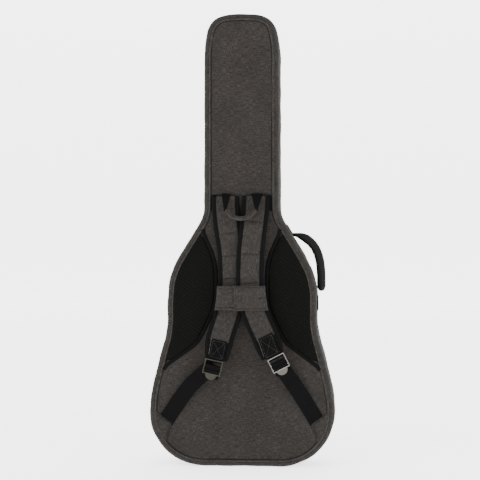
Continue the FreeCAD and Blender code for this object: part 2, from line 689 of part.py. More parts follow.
def grip_ends():
    """Ends of the side handle's grip, just off the shoulder and the waist."""
    top, along, out = shoulder_line()
    upper = top + along * (SHOULDER_R * HANDLE_TAB_START + HANDLE_TAB_LONG - GRIP_OVER_TAB) + out * GRIP_OFF_SHOULDER
    lower = V(WAIST_HALF + GRIP_OFF_WAIST, 0, HANDLE_TAB_HIGH + GRIP_ABOVE_TAB)
    return upper, lower


def side_handle():
    """Padded side handle and the two webbing tabs that hold it to the side wall."""
    upper_end, lower_end = grip_ends()
    chord = lower_end - upper_end
    rise = V(-chord.z, 0, chord.x)
    rise.normalize()
    middles = [upper_end + chord * share + rise * high for share, high, _ in GRIP]
    sections = []
    last = len(GRIP) - 1
    for i, (_, _, radius) in enumerate(GRIP):
        heading = middles[min(i + 1, last)] - middles[max(i - 1, 0)]
        ellipse = Part.Ellipse(V(0, 0, 0), radius * GRIP_DEEP, radius).toShape()
        ellipse.Placement = FreeCAD.Placement(
            middles[i] + V(0, HANDLE_Y, 0),
            FreeCAD.Rotation(V(0, 1, 0), heading.cross(V(0, 1, 0)), heading, "ZXY"))
        sections.append(Part.Wire(ellipse))
    grip = Part.makeLoft(sections, True)
    top, along, out = shoulder_line()
    begin = top + along * SHOULDER_R * HANDLE_TAB_START
    face = [begin, begin + along * HANDLE_TAB_LONG]
    upper = polygon_prism([face[0], face[1], face[1] + out * HANDLE_TAB_THICK, face[0] + out * HANDLE_TAB_THICK],
                          V(0, HANDLE_TAB_WIDE, 0))
    half = HANDLE_TAB_WIDE / 2
    upper.translate(V(0, HANDLE_Y - half, 0))
    lower = ring(bag_corners(), -HANDLE_TAB_THICK, 0.0, HANDLE_Y - half, HANDLE_Y + half)
    lower = lower.common(block(0, LOWER_HALF, -BODY_DEPTH, BODY_DEPTH, HANDLE_TAB_LOW, HANDLE_TAB_HIGH))
    return {"side_handle_grip": grip, "handle_upper_tab": upper, "handle_lower_tab": lower}


def haul_loop():
    """Short lifting loop at the foot of the neck: a round grip between two webbing tabs."""
    left, right = (V(x, BACK_Y - LOOP_OFF, LOOP_END_Z) for x in (LOOP_LEFT_X, LOOP_RIGHT_X))
    low = V((LOOP_LEFT_X + LOOP_RIGHT_X) / 2, BACK_Y - LOOP_BELLY, LOOP_LOW_Z)
    arc = Part.Arc(left, low, right)
    path = Part.Wire(arc.toShape())
    circle = Part.Circle(left, arc.tangent(arc.FirstParameter)[0], LOOP_R)
    grip = path.makePipeShell([Part.Wire(circle.toShape())], True, False)
    tabs = []
    root_y, foot_y = BACK_Y - YOKE_THICK - STRAP_THICK - 2 * FIT, BACK_Y - LOOP_OFF
    foot = LOOP_TAB_FOOT_HALF
    for end, half_top in ((left, LOOP_TAB_LEFT_HALF), (right, LOOP_TAB_RIGHT_HALF)):
        x = end.x
        face = [V(x - half_top, root_y, STRAP_TOP_Z), V(x + half_top, root_y, STRAP_TOP_Z),
                V(x + foot, foot_y, end.z), V(x - foot, foot_y, end.z)]
        tabs.append(polygon_prism(face, V(0, -LOOP_TAB_THICK, 0)).cut(grip))
    return {"haul_loop": grip, "haul_loop_tabs": Part.makeCompound(tabs)}


# ---------------------------------------------------------------- lid pocket
def pocket():
    """Flat bellows pocket on the lid's lower bout, closed by a zip along its top."""
    corners = bag_corners()
    outer = prism(corners, POCKET_INSET, -BODY_DEPTH, 2 * BODY_DEPTH)
    inner = prism(corners, POCKET_INSET + POCKET_SKIN, -BODY_DEPTH, 2 * BODY_DEPTH)
    below = block(-LOWER_HALF, LOWER_HALF, -BODY_DEPTH, 2 * BODY_DEPTH, 0, POCKET_TOP_Z)
    bag = outer.common(below).common(slab(0, POCKET_DEEP))
    room = inner.common(below).common(slab(-1, POCKET_DEEP - POCKET_SKIN))
    top = POCKET_TOP_Z
    middle = face_y(top) + POCKET_DEEP / 2
    slots = ((-POCKET_DEEP / 2, -TEETH_OUT), (TEETH_OUT, POCKET_DEEP / 2 - POCKET_SKIN))
    rows = ((-TEETH_OUT, -TEETH_IN), (TEETH_IN, TEETH_OUT))

    def strips(spans, high):
        made = [block(-LOWER_HALF, LOWER_HALF, middle + a, middle + b, top - SKIN, top + high) for a, b in spans]
        return Part.makeCompound([m.common(inner).common(slab(0, POCKET_DEEP - POCKET_SKIN)) for m in made])

    return {
        "lid_pocket": bag.cut(room),
        "pocket_zip_tape": strips(slots, 0.0),
        "pocket_zip_teeth": strips(rows, TEETH_PROUD),
    }


def pocket_slider_parts():
    """Pocket slider at the left end of its zip, with its pull lying flat towards -X."""
    drop = POCKET_TOP_Z - (UPPER_Z - UPPER_R * math.tan(shoulder_turn() / 2))
    end = WAIST_HALF - UPPER_R + math.sqrt(UPPER_R ** 2 - max(drop, 0.0) ** 2) - POCKET_INSET - POCKET_SKIN
    x = SLIDER_LONG - end
    middle = face_y(POCKET_TOP_Z) + POCKET_DEEP / 2
    made = {}
    foot = TEETH_PROUD + RUN + WING
    for name, shape in (("pocket_slider", slider(TEETH_PROUD, SKIN)), ("pocket_pull", pull(foot))):
        shape = shape.copy()
        shape.rotate(V(0, 0, 0), V(0, 1, 0), -90)
        shape.rotate(V(0, 0, 0), V(0, 0, 1), 180)
        shape.translate(V(x, middle, POCKET_TOP_Z))
        made[name] = shape
    return made


# ---------------------------------------------------------------- inside
def inside():
    """Neck cradle with its strap, and the pad under the guitar's tail."""
    floor = BACK_Y + WALL + FIT
    half = NECK_HALF - WALL - FIT
    cradle = block(-half, half, floor, floor + CRADLE_HIGH, CRADLE_LOW_Z, CRADLE_LOW_Z + CRADLE_LONG)
    notch = block(-NOTCH_HALF, NOTCH_HALF, floor + CRADLE_HIGH - NOTCH_DEEP, floor + CRADLE_HIGH + 1,
                  CRADLE_LOW_Z - 1, CRADLE_LOW_Z + CRADLE_LONG + 1)
    bottom = [e for e in notch.Edges if all(abs(v.Y - floor - CRADLE_HIGH + NOTCH_DEEP) < 1e-6 for v in e.Vertexes)
              and abs(e.Vertexes[0].Z - e.Vertexes[1].Z) > 1]
    cradle = cradle.cut(notch.makeFillet(NOTCH_DEEP / 2, bottom))
    over = floor + CRADLE_HIGH + FIT
    middle = CRADLE_LOW_Z + CRADLE_LONG / 2
    strap = block(-NECK_STRAP_HALF, NECK_STRAP_HALF, over, over + NECK_STRAP_THICK,
                  middle - NECK_STRAP_WIDE / 2, middle + NECK_STRAP_WIDE / 2)
    tail = block(-TAIL_PAD_HALF, TAIL_PAD_HALF, floor, zip_y(0) - ZIP_HALF - 2 * FIT, WALL + FIT,
                 WALL + FIT + TAIL_PAD_THICK)
    return {"neck_cradle": cradle, "neck_strap": strap, "tail_pad": tail}


# ---------------------------------------------------------------- everything
def build():
    made = shell_layers()
    base_strips(made)
    for group in (piping(), main_zip(), main_sliders(), back_pads(), yoke(), wrap(), corner_patches(),
                  lower_webbing(), side_handle(), haul_loop(), pocket(), pocket_slider_parts(), inside()):
        made.update(group)
    for name, path in (("left", LEFT_STRAP), ("right", RIGHT_STRAP)):
        made.update(strap_parts(name, path))
        made.update(buckle_parts(name, path))
    return made


def save(made):
    os.makedirs("parts", exist_ok=True)
    for name, shape in made.items():
        solids = shape.Solids
        if not solids or not all(s.isValid() and s.Volume > 0 for s in solids):
            raise ValueError(name + " isn't made of valid solids")
        whole = solids[0] if len(solids) == 1 else Part.makeCompound(solids)
        whole.exportStep("parts/" + name + ".step")
        print(name, len(solids), round(sum(s.Volume for s in solids) / 1000, 2), "cm3")


save(build())
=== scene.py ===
"""Looks of the padded gig bag: every soft piece is rebuilt as cloth, foam or webbing over the CAD solids."""
import json
import math
import bpy
import numpy as np
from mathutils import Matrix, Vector


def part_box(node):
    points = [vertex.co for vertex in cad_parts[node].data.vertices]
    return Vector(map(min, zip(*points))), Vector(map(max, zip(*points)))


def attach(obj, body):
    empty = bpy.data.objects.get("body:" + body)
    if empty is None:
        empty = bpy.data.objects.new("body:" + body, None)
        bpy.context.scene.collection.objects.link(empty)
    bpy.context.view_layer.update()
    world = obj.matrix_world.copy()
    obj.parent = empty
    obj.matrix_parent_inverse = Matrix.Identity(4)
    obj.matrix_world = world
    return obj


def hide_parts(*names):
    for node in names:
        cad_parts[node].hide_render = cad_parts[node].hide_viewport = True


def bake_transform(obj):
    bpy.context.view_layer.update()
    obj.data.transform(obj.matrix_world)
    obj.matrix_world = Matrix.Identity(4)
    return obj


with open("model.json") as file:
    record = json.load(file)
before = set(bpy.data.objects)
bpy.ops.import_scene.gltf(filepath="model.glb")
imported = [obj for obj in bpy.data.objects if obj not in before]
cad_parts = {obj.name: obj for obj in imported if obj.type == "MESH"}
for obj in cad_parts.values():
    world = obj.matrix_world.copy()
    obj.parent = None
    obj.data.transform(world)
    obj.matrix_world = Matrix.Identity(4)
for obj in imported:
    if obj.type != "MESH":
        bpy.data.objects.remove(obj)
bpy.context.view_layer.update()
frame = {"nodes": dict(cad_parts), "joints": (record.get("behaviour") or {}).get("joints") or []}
NODES = frame["nodes"]
JOINTS = {j["name"]: j for j in frame["joints"]}
MM = 0.001


# ---------------------------------------------------------------- reading the CAD nodes
def box(*names):
    lows, highs = zip(*(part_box(n) for n in names))
    return np.array(lows).min(0), np.array(highs).max(0)


def node_mesh(name):
    """Vertices of a CAD node with doubles merged, and its triangles."""
    me = NODES[name].data
    co = np.zeros(len(me.vertices) * 3)
    me.vertices.foreach_get("co", co)
    co = co.reshape(-1, 3)
    keys, inverse = np.unique(np.round(co, 6), axis=0, return_inverse=True)
    me.calc_loop_triangles()
    tris = np.zeros(len(me.loop_triangles) * 3, int)
    me.loop_triangles.foreach_get("vertices", tris)
    return keys, inverse.reshape(-1)[tris].reshape(-1, 3)


def face_loops(name, normal, least=0.995):
    """Boundary loops of the faces of a CAD node that face along normal, the longest first."""
    co, tris = node_mesh(name)
    n = np.cross(co[tris[:, 1]] - co[tris[:, 0]], co[tris[:, 2]] - co[tris[:, 0]])
    n /= np.linalg.norm(n, axis=1)[:, None] + 1e-15
    count = {}
    for t in tris[n @ np.array(normal, float) > least]:
        for a, b in ((t[0], t[1]), (t[1], t[2]), (t[2], t[0])):
            key = (min(a, b), max(a, b))
            count[key] = count.get(key, 0) + 1
    link = {}
    for (a, b), c in count.items():
        if c == 1:
            link.setdefault(a, []).append(b)
            link.setdefault(b, []).append(a)
    loops = []
    while link:
        start = next(iter(link))
        loop, here = [start], start
        while link.get(here):
            following = link[here].pop()
            link[following].remove(here)
            if not link[here]:
                del link[here]
            if following == start:
                break
            loop.append(following)
            here = following
        link = {k: v for k, v in link.items() if v}
        loops.append(co[loop])
    return sorted(loops, key=lambda q: -np.linalg.norm(np.diff(q, axis=0), axis=1).sum())


def resample(points, step, closed=False):
    """Points at equal spacing along a polyline."""
    pts = np.vstack([points, points[:1]]) if closed else np.asarray(points)
    run = np.concatenate([[0], np.cumsum(np.linalg.norm(np.diff(pts, axis=0), axis=1))])
    count = max(int(round(run[-1] / step)), 2)
    at = np.linspace(0, run[-1], count + 1)
    out = np.stack([np.interp(at, run, pts[:, k]) for k in range(pts.shape[1])], 1)
    return out[:-1] if closed else out


def smooth(points, sigma, closed=False):
    """Gaussian smoothing of a polyline, sigma in points."""
    reach = int(3 * sigma) + 1
    kernel = np.exp(-0.5 * (np.arange(-reach, reach + 1) / sigma) ** 2)
    kernel /= kernel.sum()
    if closed:
        padded = np.vstack([points[-reach:], points, points[:reach]])
    else:
        padded = np.vstack([2 * points[0] - points[reach:0:-1], points,
            2 * points[-1] - points[-2:-reach - 2:-1]])
    return np.stack([np.convolve(padded[:, k], kernel, "valid") for k in range(points.shape[1])], 1)


def slice_at(names, z):
    """Low and high corner, in x and y, of CAD nodes where the plane at height z cuts them."""
    hits = []
    for name in names:
        co, tris = SLICED.setdefault(name, node_mesh(name))
        for i, j in ((0, 1), (1, 2), (2, 0)):
            a, b = co[tris[:, i]], co[tris[:, j]]
            cut = (a[:, 2] - z) * (b[:, 2] - z) < 0
            share = ((z - a[cut, 2]) / (b[cut, 2] - a[cut, 2]))[:, None]
            hits.append((a[cut] + (b[cut] - a[cut]) * share)[:, :2])
    hits = np.vstack(hits)
    return hits.min(0), hits.max(0)


SLICED = {}


def ripple(points, wavelength, seed, axes=(1, 1, 1), count=14):
    """Smooth random relief, about -1 to 1, with features of about this size."""
    rng = np.random.default_rng(seed)
    total = np.zeros(points.shape[:-1])
    for _ in range(count):
        k = rng.normal(size=3) * np.array(axes)
        k *= 2 * math.pi / wavelength * rng.uniform(0.6, 1.5) / np.linalg.norm(k)
        total += np.sin(points @ k + rng.uniform(0, 2 * math.pi))
    return total / math.sqrt(count)


def unit(rows):
    """Rows of vectors at length one."""
    return rows / np.linalg.norm(rows, axis=-1)[..., None]


def raised(xz, y):
    """(x, z) points at depth y, as (x, y, z)."""
    return np.stack([xz[:, 0], np.broadcast_to(y, len(xz)), xz[:, 1]], 1)


def facing_back(count):
    """Normals of stitches that look away from the back panel."""
    return np.tile((0.0, -1.0, 0.0), (count, 1))


def band(rows):
    """Rows that run round the bag, turned into the columns of a grid."""
    return np.array(rows).transpose(1, 0, 2)


# ---------------------------------------------------------------- meshes
def grid(name, points, material, wrap_u=False, wrap_v=False, uv=None, flip=False, caps=False):
    """Mesh from an array of points (rows, columns, 3), with UVs in metres."""
    rows, cols = points.shape[:2]
    index = np.arange(rows * cols).reshape(rows, cols)
    if uv is None:
        du = np.linalg.norm(np.diff(points, axis=0), axis=2).mean(1)
        dv = np.linalg.norm(np.diff(points, axis=1), axis=2).mean(0)
        u, v = np.concatenate([[0], np.cumsum(du)]), np.concatenate([[0], np.cumsum(dv)])
        uv = np.stack(np.meshgrid(u, v, indexing="ij"), 2)
    if wrap_u:
        index = np.vstack([index, index[:1]])
        uv = np.concatenate([uv, uv[-1:] + (uv[-1:] - uv[-2:-1])], 0)
    if wrap_v:
        index = np.hstack([index, index[:, :1]])
        uv = np.concatenate([uv, uv[:, -1:] + (uv[:, -1:] - uv[:, -2:-1])], 1)
    a, b, c, d = index[:-1, :-1], index[1:, :-1], index[1:, 1:], index[:-1, 1:]
    quads = np.stack([a, b, c, d], 2).reshape(-1, 4)
    corner = np.stack([uv[:-1, :-1], uv[1:, :-1], uv[1:, 1:], uv[:-1, 1:]], 2).reshape(-1, 4, 2)
    if flip:
        quads, corner = quads[:, ::-1], corner[:, ::-1]
    faces = quads.tolist()
    corner = corner.reshape(-1, 2)
    if caps:
        for ring in (index[0, :-1], index[-1, :-1][::-1]):
            ring = ring[::-1] if not flip else ring
            faces.append(ring.tolist())
            corner = np.vstack([corner, np.zeros((len(ring), 2))])
    me = bpy.data.meshes.new(name)
    me.from_pydata(points.reshape(-1, 3).tolist(), [], faces)
    layer = me.uv_layers.new(name="UVMap")
    layer.data.foreach_set("uv", corner.ravel())
    me.polygons.foreach_set("use_smooth", [True] * len(faces))
    me.update()
    me.validate()
    o = bpy.data.objects.new(name, me)
    bpy.context.scene.collection.objects.link(o)
    me.materials.append(material)
    return o


def plain_mesh(name, verts, faces, material, smoothed=False):
    """Object from lists of corners and faces, with an empty UV layer."""
    me = bpy.data.meshes.new(name)
    me.from_pydata([tuple(v) for v in verts], [], faces)
    if smoothed:
        me.polygons.foreach_set("use_smooth", [True] * len(faces))
    me.uv_layers.new(name="UVMap")
    me.materials.append(material)
    o = bpy.data.objects.new(name, me)
    bpy.context.scene.collection.objects.link(o)
    return o


def joined(name, objects):
    """One object out of several."""
    bpy.ops.object.select_all(action="DESELECT")
    for o in objects:
        o.select_set(True)
    bpy.context.view_layer.objects.active = objects[0]
    bpy.ops.object.join()
    objects[0].name = name
    objects[0].data.name = name
    return objects[0]


def place(o, body, slot, *replaced, fill=None):
    """Puts a piece on its body and hides the CAD nodes it stands for; the slot argument is not used."""
    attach(o, body)
    if replaced:
        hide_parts(*replaced)
    return o


def thicken(o, thickness, offset=-1):
    m = o.modifiers.new("thickness", "SOLIDIFY")
    m.thickness = thickness
    m.offset = offset
    return o


def frames(path, normal):
    """Tangent, width and outward directions along a path; normal is a rough outward direction."""
    t = unit(np.gradient(path, axis=0))
    w = np.cross(t, np.broadcast_to(np.array(normal, float), t.shape))
    w /= np.linalg.norm(w, axis=1)[:, None]
    n = np.cross(w, t)
    return t, w, n


def sweep(name, path, normal, section, material, **kw):
    """Sweeps a section of (across, out) points along a path."""
    _, w, n = frames(path, normal)
    rows = path[:, None] + section[None, :, :1] * w[:, None] + section[None, :, 1:] * n[:, None]
    return grid(name, rows, material, wrap_v=True, **kw)


def oval(half_w, half_t, power=2.0, count=28):
    """Closed superellipse section."""
    a = np.linspace(0, 2 * math.pi, count, endpoint=False)
    c, s = np.cos(a), np.sin(a)
    return np.stack([half_w * np.sign(c) * np.abs(c) ** (2 / power),
        half_t * np.sign(s) * np.abs(s) ** (2 / power)], 1)


def circle(count):
    """Closed section of radius one."""
    a = np.linspace(0, 2 * math.pi, count, endpoint=False)
    return np.stack([np.cos(a), np.sin(a)], 1)


def flat_webbing(name, path, across, out, wide, thick):
    """Flat webbing along a path; across and out are its width and outward directions."""
    section = oval(wide / 2, thick / 2, 5.0, 32)
    rows = path[:, None] + section[None, :, :1] * across + section[None, :, 1:] * out[:, None]
    return grid(name, rows, WEBBING, wrap_v=True, caps=True)


def straight(start, end, count=24):
    """A straight line of stitches on a face that looks away from the back panel."""
    return np.linspace(start, end, count), facing_back(count)


# pitch, length and thickness of the lines of stitches that differ from plain stitches; three of them draw
# near-continuous lines of painted shade, painted shadow and painted highlight
STRAP_STITCH = (3.6 * MM, 3.3 * MM, 0.55 * MM)
PATCH_STITCH = (3.6 * MM, 2.8 * MM, 0.45 * MM)
WRAP_STITCH = (3.6 * MM, 3.0 * MM, 0.5 * MM)
TAB_STITCH = (3.2 * MM, 2.2 * MM, 0.3 * MM)
# near-continuous pale line along one edge of a webbing tab, painted highlight
EDGE_HIGHLIGHT_LINE = (2.4 * MM, 2.3 * MM, 0.45 * MM)
# near-continuous dark line on the yoke seam, painted shade of the seam's crease
SEAM_SHADE_LINE = (3.4 * MM, 3.3 * MM, 0.7 * MM)
# near-continuous dark line round a corner patch's edge, painted shadow
PATCH_EDGE_SHADOW = (3.0 * MM, 2.95 * MM, 0.7 * MM)
HANDLE_SEAM = (3.4 * MM, 2.4 * MM)
HAUL_SEAM = (3 * MM, 2.2 * MM, 0.3 * MM)


def stitches_and_painted_lines(name, lines, material, pitch=4.0 * MM, length=2.8 * MM, thick=0.35 * MM):
    """Rows of small sewn stitches; at close pitch they also draw lines of painted shade, shadow and
    highlight. Each line is (points, outward normals).
    """
    shape = np.array([(-1, 0, -0.2), (-0.8, 0, 0.55), (-0.35, 0, 0.95), (0.35, 0, 0.95), (0.8, 0, 0.55),
        (1, 0, -0.2)])
    verts, faces = [], []
    for points, normals in lines:
        points, normals = np.asarray(points), np.asarray(normals)
        run = np.concatenate([[0], np.cumsum(np.linalg.norm(np.diff(points, axis=0), axis=1))])
        at = np.arange(pitch / 2, run[-1], pitch)
        mid = np.stack([np.interp(at, run, points[:, k]) for k in range(3)], 1)
        nrm = np.stack([np.interp(at, run, normals[:, k]) for k in range(3)], 1)
        nrm /= np.linalg.norm(nrm, axis=1)[:, None]
        ahead = np.stack([np.interp(at + 0.1 * MM, run, points[:, k]) for k in range(3)], 1)
        back = np.stack([np.interp(at - 0.1 * MM, run, points[:, k]) for k in range(3)], 1)
        t = ahead - back
        t /= np.linalg.norm(t, axis=1)[:, None] + 1e-12
        side = np.cross(nrm, t)
        for p, tt, ss, nn in zip(mid, t, side, nrm):
            base = len(verts)
            for a, _, h in shape:
                c = p + tt * a * length / 2 + nn * h * thick
                wide = thick * (1.0 if abs(a) < 0.7 else 0.7 if abs(a) < 0.9 else 0.3)
                for ang in (0, 1.57, 3.14, 4.71):
                    verts.append(c + ss * wide * math.cos(ang) + nn * wide * math.sin(ang))
            for r in range(len(shape) - 1):
                for q in range(4):
                    a0, a1 = base + r * 4 + q, base + r * 4 + (q + 1) % 4
                    faces.append((a0, a1, a1 + 4, a0 + 4))
    return plain_mesh(name, verts, faces, material, smoothed=True)


# ---------------------------------------------------------------- materials
class Nodes:
    """Short hand for building a node material."""

    def __init__(self, name, rough, **fixed):
        self.mat = bpy.data.materials.new(name)
        self.mat.use_nodes = True
        self.tree = self.mat.node_tree
        self.bsdf = self.tree.nodes["Principled BSDF"]
        self.bsdf.inputs["Roughness"].default_value = rough
        for key, value in fixed.items():
            self.bsdf.inputs[key.replace("_", " ")].default_value = value

    def add(self, kind, inputs=None, **props):
        node = self.tree.nodes.new("ShaderNode" + kind)
        for key, value in props.items():
            setattr(node, key, value)
        for key, value in (inputs or {}).items():
            if isinstance(value, bpy.types.NodeSocket):
                self.tree.links.new(value, node.inputs[key])
            else:
                node.inputs[key].default_value = value
        return node

    def math(self, operation, a, b=0.0, c=0.0):
        return self.add("Math", {0: a, 1: b, 2: c}, operation=operation).outputs[0]

    def link(self, socket, target):
        self.tree.links.new(socket, self.bsdf.inputs[target])

    def uv(self, sx=1.0, sy=1.0, angle=0.0):
        """The UV in metres, scaled."""
        coord = self.add("UVMap", uv_map="UVMap").outputs[0]
        return self.add("Mapping", {"Vector": coord, "Scale": (sx, sy, 1.0),
            "Rotation": (0, 0, angle)}).outputs[0]

    def noise(self, vector, scale=1.0, detail=2.0, rough=0.5):
        return self.add("TexNoise", {"Vector": vector, "Scale": scale, "Detail": detail,
            "Roughness": rough}, noise_dimensions="2D").outputs["Fac"]

    def ramp(self, fac, stops):
        node = self.add("ValToRGB", {"Fac": fac})
        elements = node.color_ramp.elements
        while len(elements) < len(stops):
            elements.new(0.5)
        for element, (position, colour) in zip(elements, stops):
            element.position = position
            element.color = (*colour, 1.0) if len(colour) == 3 else colour
        return node.outputs["Color"]

    def mix(self, a, b, fac, kind="MIX"):
        node = self.add("Mix", {0: fac, 6: a, 7: b}, data_type="RGBA", blend_type=kind)
        return node.outputs[2]

    def bump(self, height, distance, strength=1.0, before=None):
        inputs = {"Height": height, "Distance": distance, "Strength": strength}
        if before is not None:
            inputs["Normal"] = before
        return self.add("Bump", inputs).outputs[0]

    def weave(self, pitch, angle=0.0):
        """Height of a plain weave, 0 to 1, with this thread pitch in metres."""
        vec = self.uv(1.0 / pitch, 1.0 / pitch, angle)
        xyz = self.add("SeparateXYZ", {"Vector": vec})
        x, y = xyz.outputs[0], xyz.outputs[1]
        wx = self.math("SINE", self.math("MULTIPLY", x, math.pi))
        wy = self.math("SINE", self.math("MULTIPLY", y, math.pi))
        product = self.math("MULTIPLY", wx, wy)
        cx = self.math("ABSOLUTE", wx)
        cy = self.math("ABSOLUTE", wy)
        over = self.math("GREATER_THAN", product, 0.0)
        warp = self.math("MULTIPLY", cx, over)
        weft = self.math("MULTIPLY", cy, self.math("SUBTRACT", 1.0, over))
        return self.math("ADD", warp, weft)


CLOTH_LEVEL = 0.3                # canvas colours are taken down to this share, for the bright studio


def srgb(*values):
    return tuple((v / 255 / 12.92 if v <= 10 else ((v / 255 + 0.055) / 1.055) ** 2.4) for v in values)


def tint(colour, share):
    """A colour at this share of its strength, with its alpha."""
    return tuple(c * share for c in colour) + (1,)


def canvas(name, tone=1.0):
    """Heather canvas: light and dark yarns run both ways, over a plain weave."""
    m = Nodes(name, 0.9, Sheen_Weight=0.04, Sheen_Roughness=0.5, Specular_IOR_Level=0.06)
    dark = tuple(CLOTH_LEVEL * c * tone for c in srgb(45, 43, 41))
    mid = tuple(CLOTH_LEVEL * c * tone for c in srgb(69, 65, 62))
    light = tuple(CLOTH_LEVEL * c * tone for c in srgb(104, 98, 93))
    across = m.noise(m.uv(1500, 110), 1.0, 3.0, 0.6)
    along = m.noise(m.uv(110, 1500), 1.0, 3.0, 0.6)
    slubs = m.noise(m.uv(55, 520), 1.0, 2.0, 0.5)
    yarns = m.math("ADD", m.math("MULTIPLY", across, 0.5), m.math("MULTIPLY", along, 0.5))
    yarns = m.math("ADD", yarns, m.math("MULTIPLY", m.math("SUBTRACT", slubs, 0.5), 0.22))
    colour = m.ramp(yarns, [(0.34, dark), (0.5, mid), (0.68, light)])
    weave = m.weave(0.55 * MM)
    shade = m.ramp(weave, [(0.0, (0.55, 0.55, 0.55)), (1.0, (1.12, 1.12, 1.12))])
    colour = m.mix(colour, shade, 0.8, "MULTIPLY")
    cloud = m.ramp(m.noise(m.uv(14, 14), 1.0, 3.0), [(0.3, (0.9, 0.9, 0.9)), (0.7, (1.08, 1.08, 1.08))])
    m.link(m.mix(colour, cloud, 1.0, "MULTIPLY"), "Base Color")
    fuzz = m.noise(m.uv(900, 900), 1.0, 3.0, 0.7)
    low = m.bump(yarns, 0.25 * MM, 0.6)
    m.link(m.bump(m.math("ADD", weave, m.math("MULTIPLY", fuzz, 0.4)), 0.16 * MM, 0.8, low), "Normal")
    return m.mat


def mesh_cloth(name):
    """Air mesh: staggered round eyelets in a dark knit, with diagonal ribs."""
    m = Nodes(name, 0.75, Sheen_Weight=0.0, Sheen_Roughness=0.4, Specular_IOR_Level=0.03)
    p = 2.6 * MM
    vec = m.uv(1 / p, 1 / p, math.radians(30))
    cells = m.add("TexVoronoi", {"Vector": vec, "Scale": 1.0, "Randomness": 0.12}, voronoi_dimensions="2D")
    dist = cells.outputs["Distance"]
    hole = m.ramp(dist, [(0.2, (0, 0, 0)), (0.42, (1, 1, 1))])
    rib = m.math("SINE", m.math("MULTIPLY", m.add("SeparateXYZ",
        {"Vector": m.uv(1 / p, 1 / p, math.radians(-55))}).outputs[0], 2.2))
    colour = m.mix(srgb(3, 3, 3) + (1,), srgb(13, 13, 12) + (1,), hole)
    # colour lighter on the rib ridges and darker between them: painted highlight and shade of the ribs
    rib_shade = m.ramp(m.math("ADD", m.math("MULTIPLY", rib, 0.25), 0.5),
        [(0.2, (0.7, 0.7, 0.7)), (0.8, (1.25, 1.25, 1.25))])
    m.link(m.mix(colour, rib_shade, 1.0, "MULTIPLY"), "Base Color")
    low = m.bump(rib, 0.25 * MM, 0.5)
    m.link(m.bump(hole, 0.5 * MM, 0.9, low), "Normal")
    return m.mat


def web(name, colour=(8, 8, 8), pitch=1.25 * MM, rough=0.66):
    """Webbing or tape: ribs along it with a herringbone across them."""
    m = Nodes(name, rough, Sheen_Weight=0.0, Sheen_Roughness=0.4, Specular_IOR_Level=0.03)
    vec = m.add("SeparateXYZ", {"Vector": m.uv(1 / pitch, 1 / pitch)})
    along, across = vec.outputs[0], vec.outputs[1]
    rib = m.math("ABSOLUTE", m.math("SINE", m.math("MULTIPLY", across, math.pi)))
    zigzag = m.math("ABSOLUTE", m.math("SUBTRACT", m.math("FRACT", m.math("MULTIPLY", across, 0.5)), 0.5))
    pick = m.math("SINE", m.math("MULTIPLY", m.math("ADD", along, m.math("MULTIPLY", zigzag, 2.0)),
        2 * math.pi))
    height = m.math("ADD", m.math("MULTIPLY", rib, 0.7), m.math("MULTIPLY", pick, 0.3))
    wear = m.noise(m.uv(400, 400), 1.0, 3.0, 0.6)
    # colour runs from 0.6 to 1.3 times the webbing's own with rib height, painted highlight on the raised
    # ribs and painted shade in the grooves, plus random tone from the wear noise
    base = tint(srgb(*colour), 0.6)
    top = tint(srgb(*colour), 1.3)
    m.link(m.mix(base, top, m.math("MULTIPLY", m.math("ADD", height, wear), 0.6)), "Base Color")
    m.link(m.bump(height, 0.25 * MM, 0.8), "Normal")
    return m.mat


def smooth_cloth(name, colour, pitch=0.4 * MM, rough=0.6, sheen=0.2, bump=0.08 * MM):
    """Fine plain cloth: binding, lining, handle sleeve, thread."""
    m = Nodes(name, rough, Sheen_Weight=sheen, Sheen_Roughness=0.4, Specular_IOR_Level=0.1)
    weave = m.weave(pitch)
    c = srgb(*colour)
    shade = m.math("ADD", m.math("MULTIPLY", weave, 0.5), m.math("MULTIPLY",
        m.noise(m.uv(250, 250), 1.0, 3.0), 0.5))
    m.link(m.mix(tint(c, 0.7), tint(c, 1.3), shade), "Base Color")
    m.link(m.bump(weave, bump, 0.7, m.bump(m.noise(m.uv(120, 120), 1.0, 2.0), 0.4 * MM, 0.35)), "Normal")
    return m.mat


def metal(name, colour, rough, wear=0.15):
    m = Nodes(name, rough, Metallic=1.0)
    coord = m.add("TexCoord").outputs["Object"]
    marks = m.add("TexNoise", {"Vector": coord, "Scale": 900.0, "Detail": 4.0,
        "Roughness": 0.7}).outputs["Fac"]
    c = srgb(*colour)
    m.link(m.mix(tint(c, 0.75), c + (1,), marks), "Base Color")
    m.link(m.math("ADD", rough - wear / 2, m.math("MULTIPLY", marks, wear)), "Roughness")
    m.link(m.bump(marks, 0.03 * MM, 0.3), "Normal")
    return m.mat


def plastic(name, colour, rough=0.45):
    m = Nodes(name, rough, Specular_IOR_Level=0.5)
    coord = m.add("TexCoord").outputs["Object"]
    grain = m.add("TexNoise", {"Vector": coord, "Scale": 1500.0, "Detail": 2.0}).outputs["Fac"]
    c = srgb(*colour)
    m.link(m.mix(tint(c, 0.8), tint(c, 1.2), grain), "Base Color")
    m.link(m.bump(grain, 0.03 * MM, 0.3), "Normal")
    return m.mat


CANVAS = canvas("heather_canvas")
STRAP_CANVAS = canvas("heather_canvas_strap", 1.12)
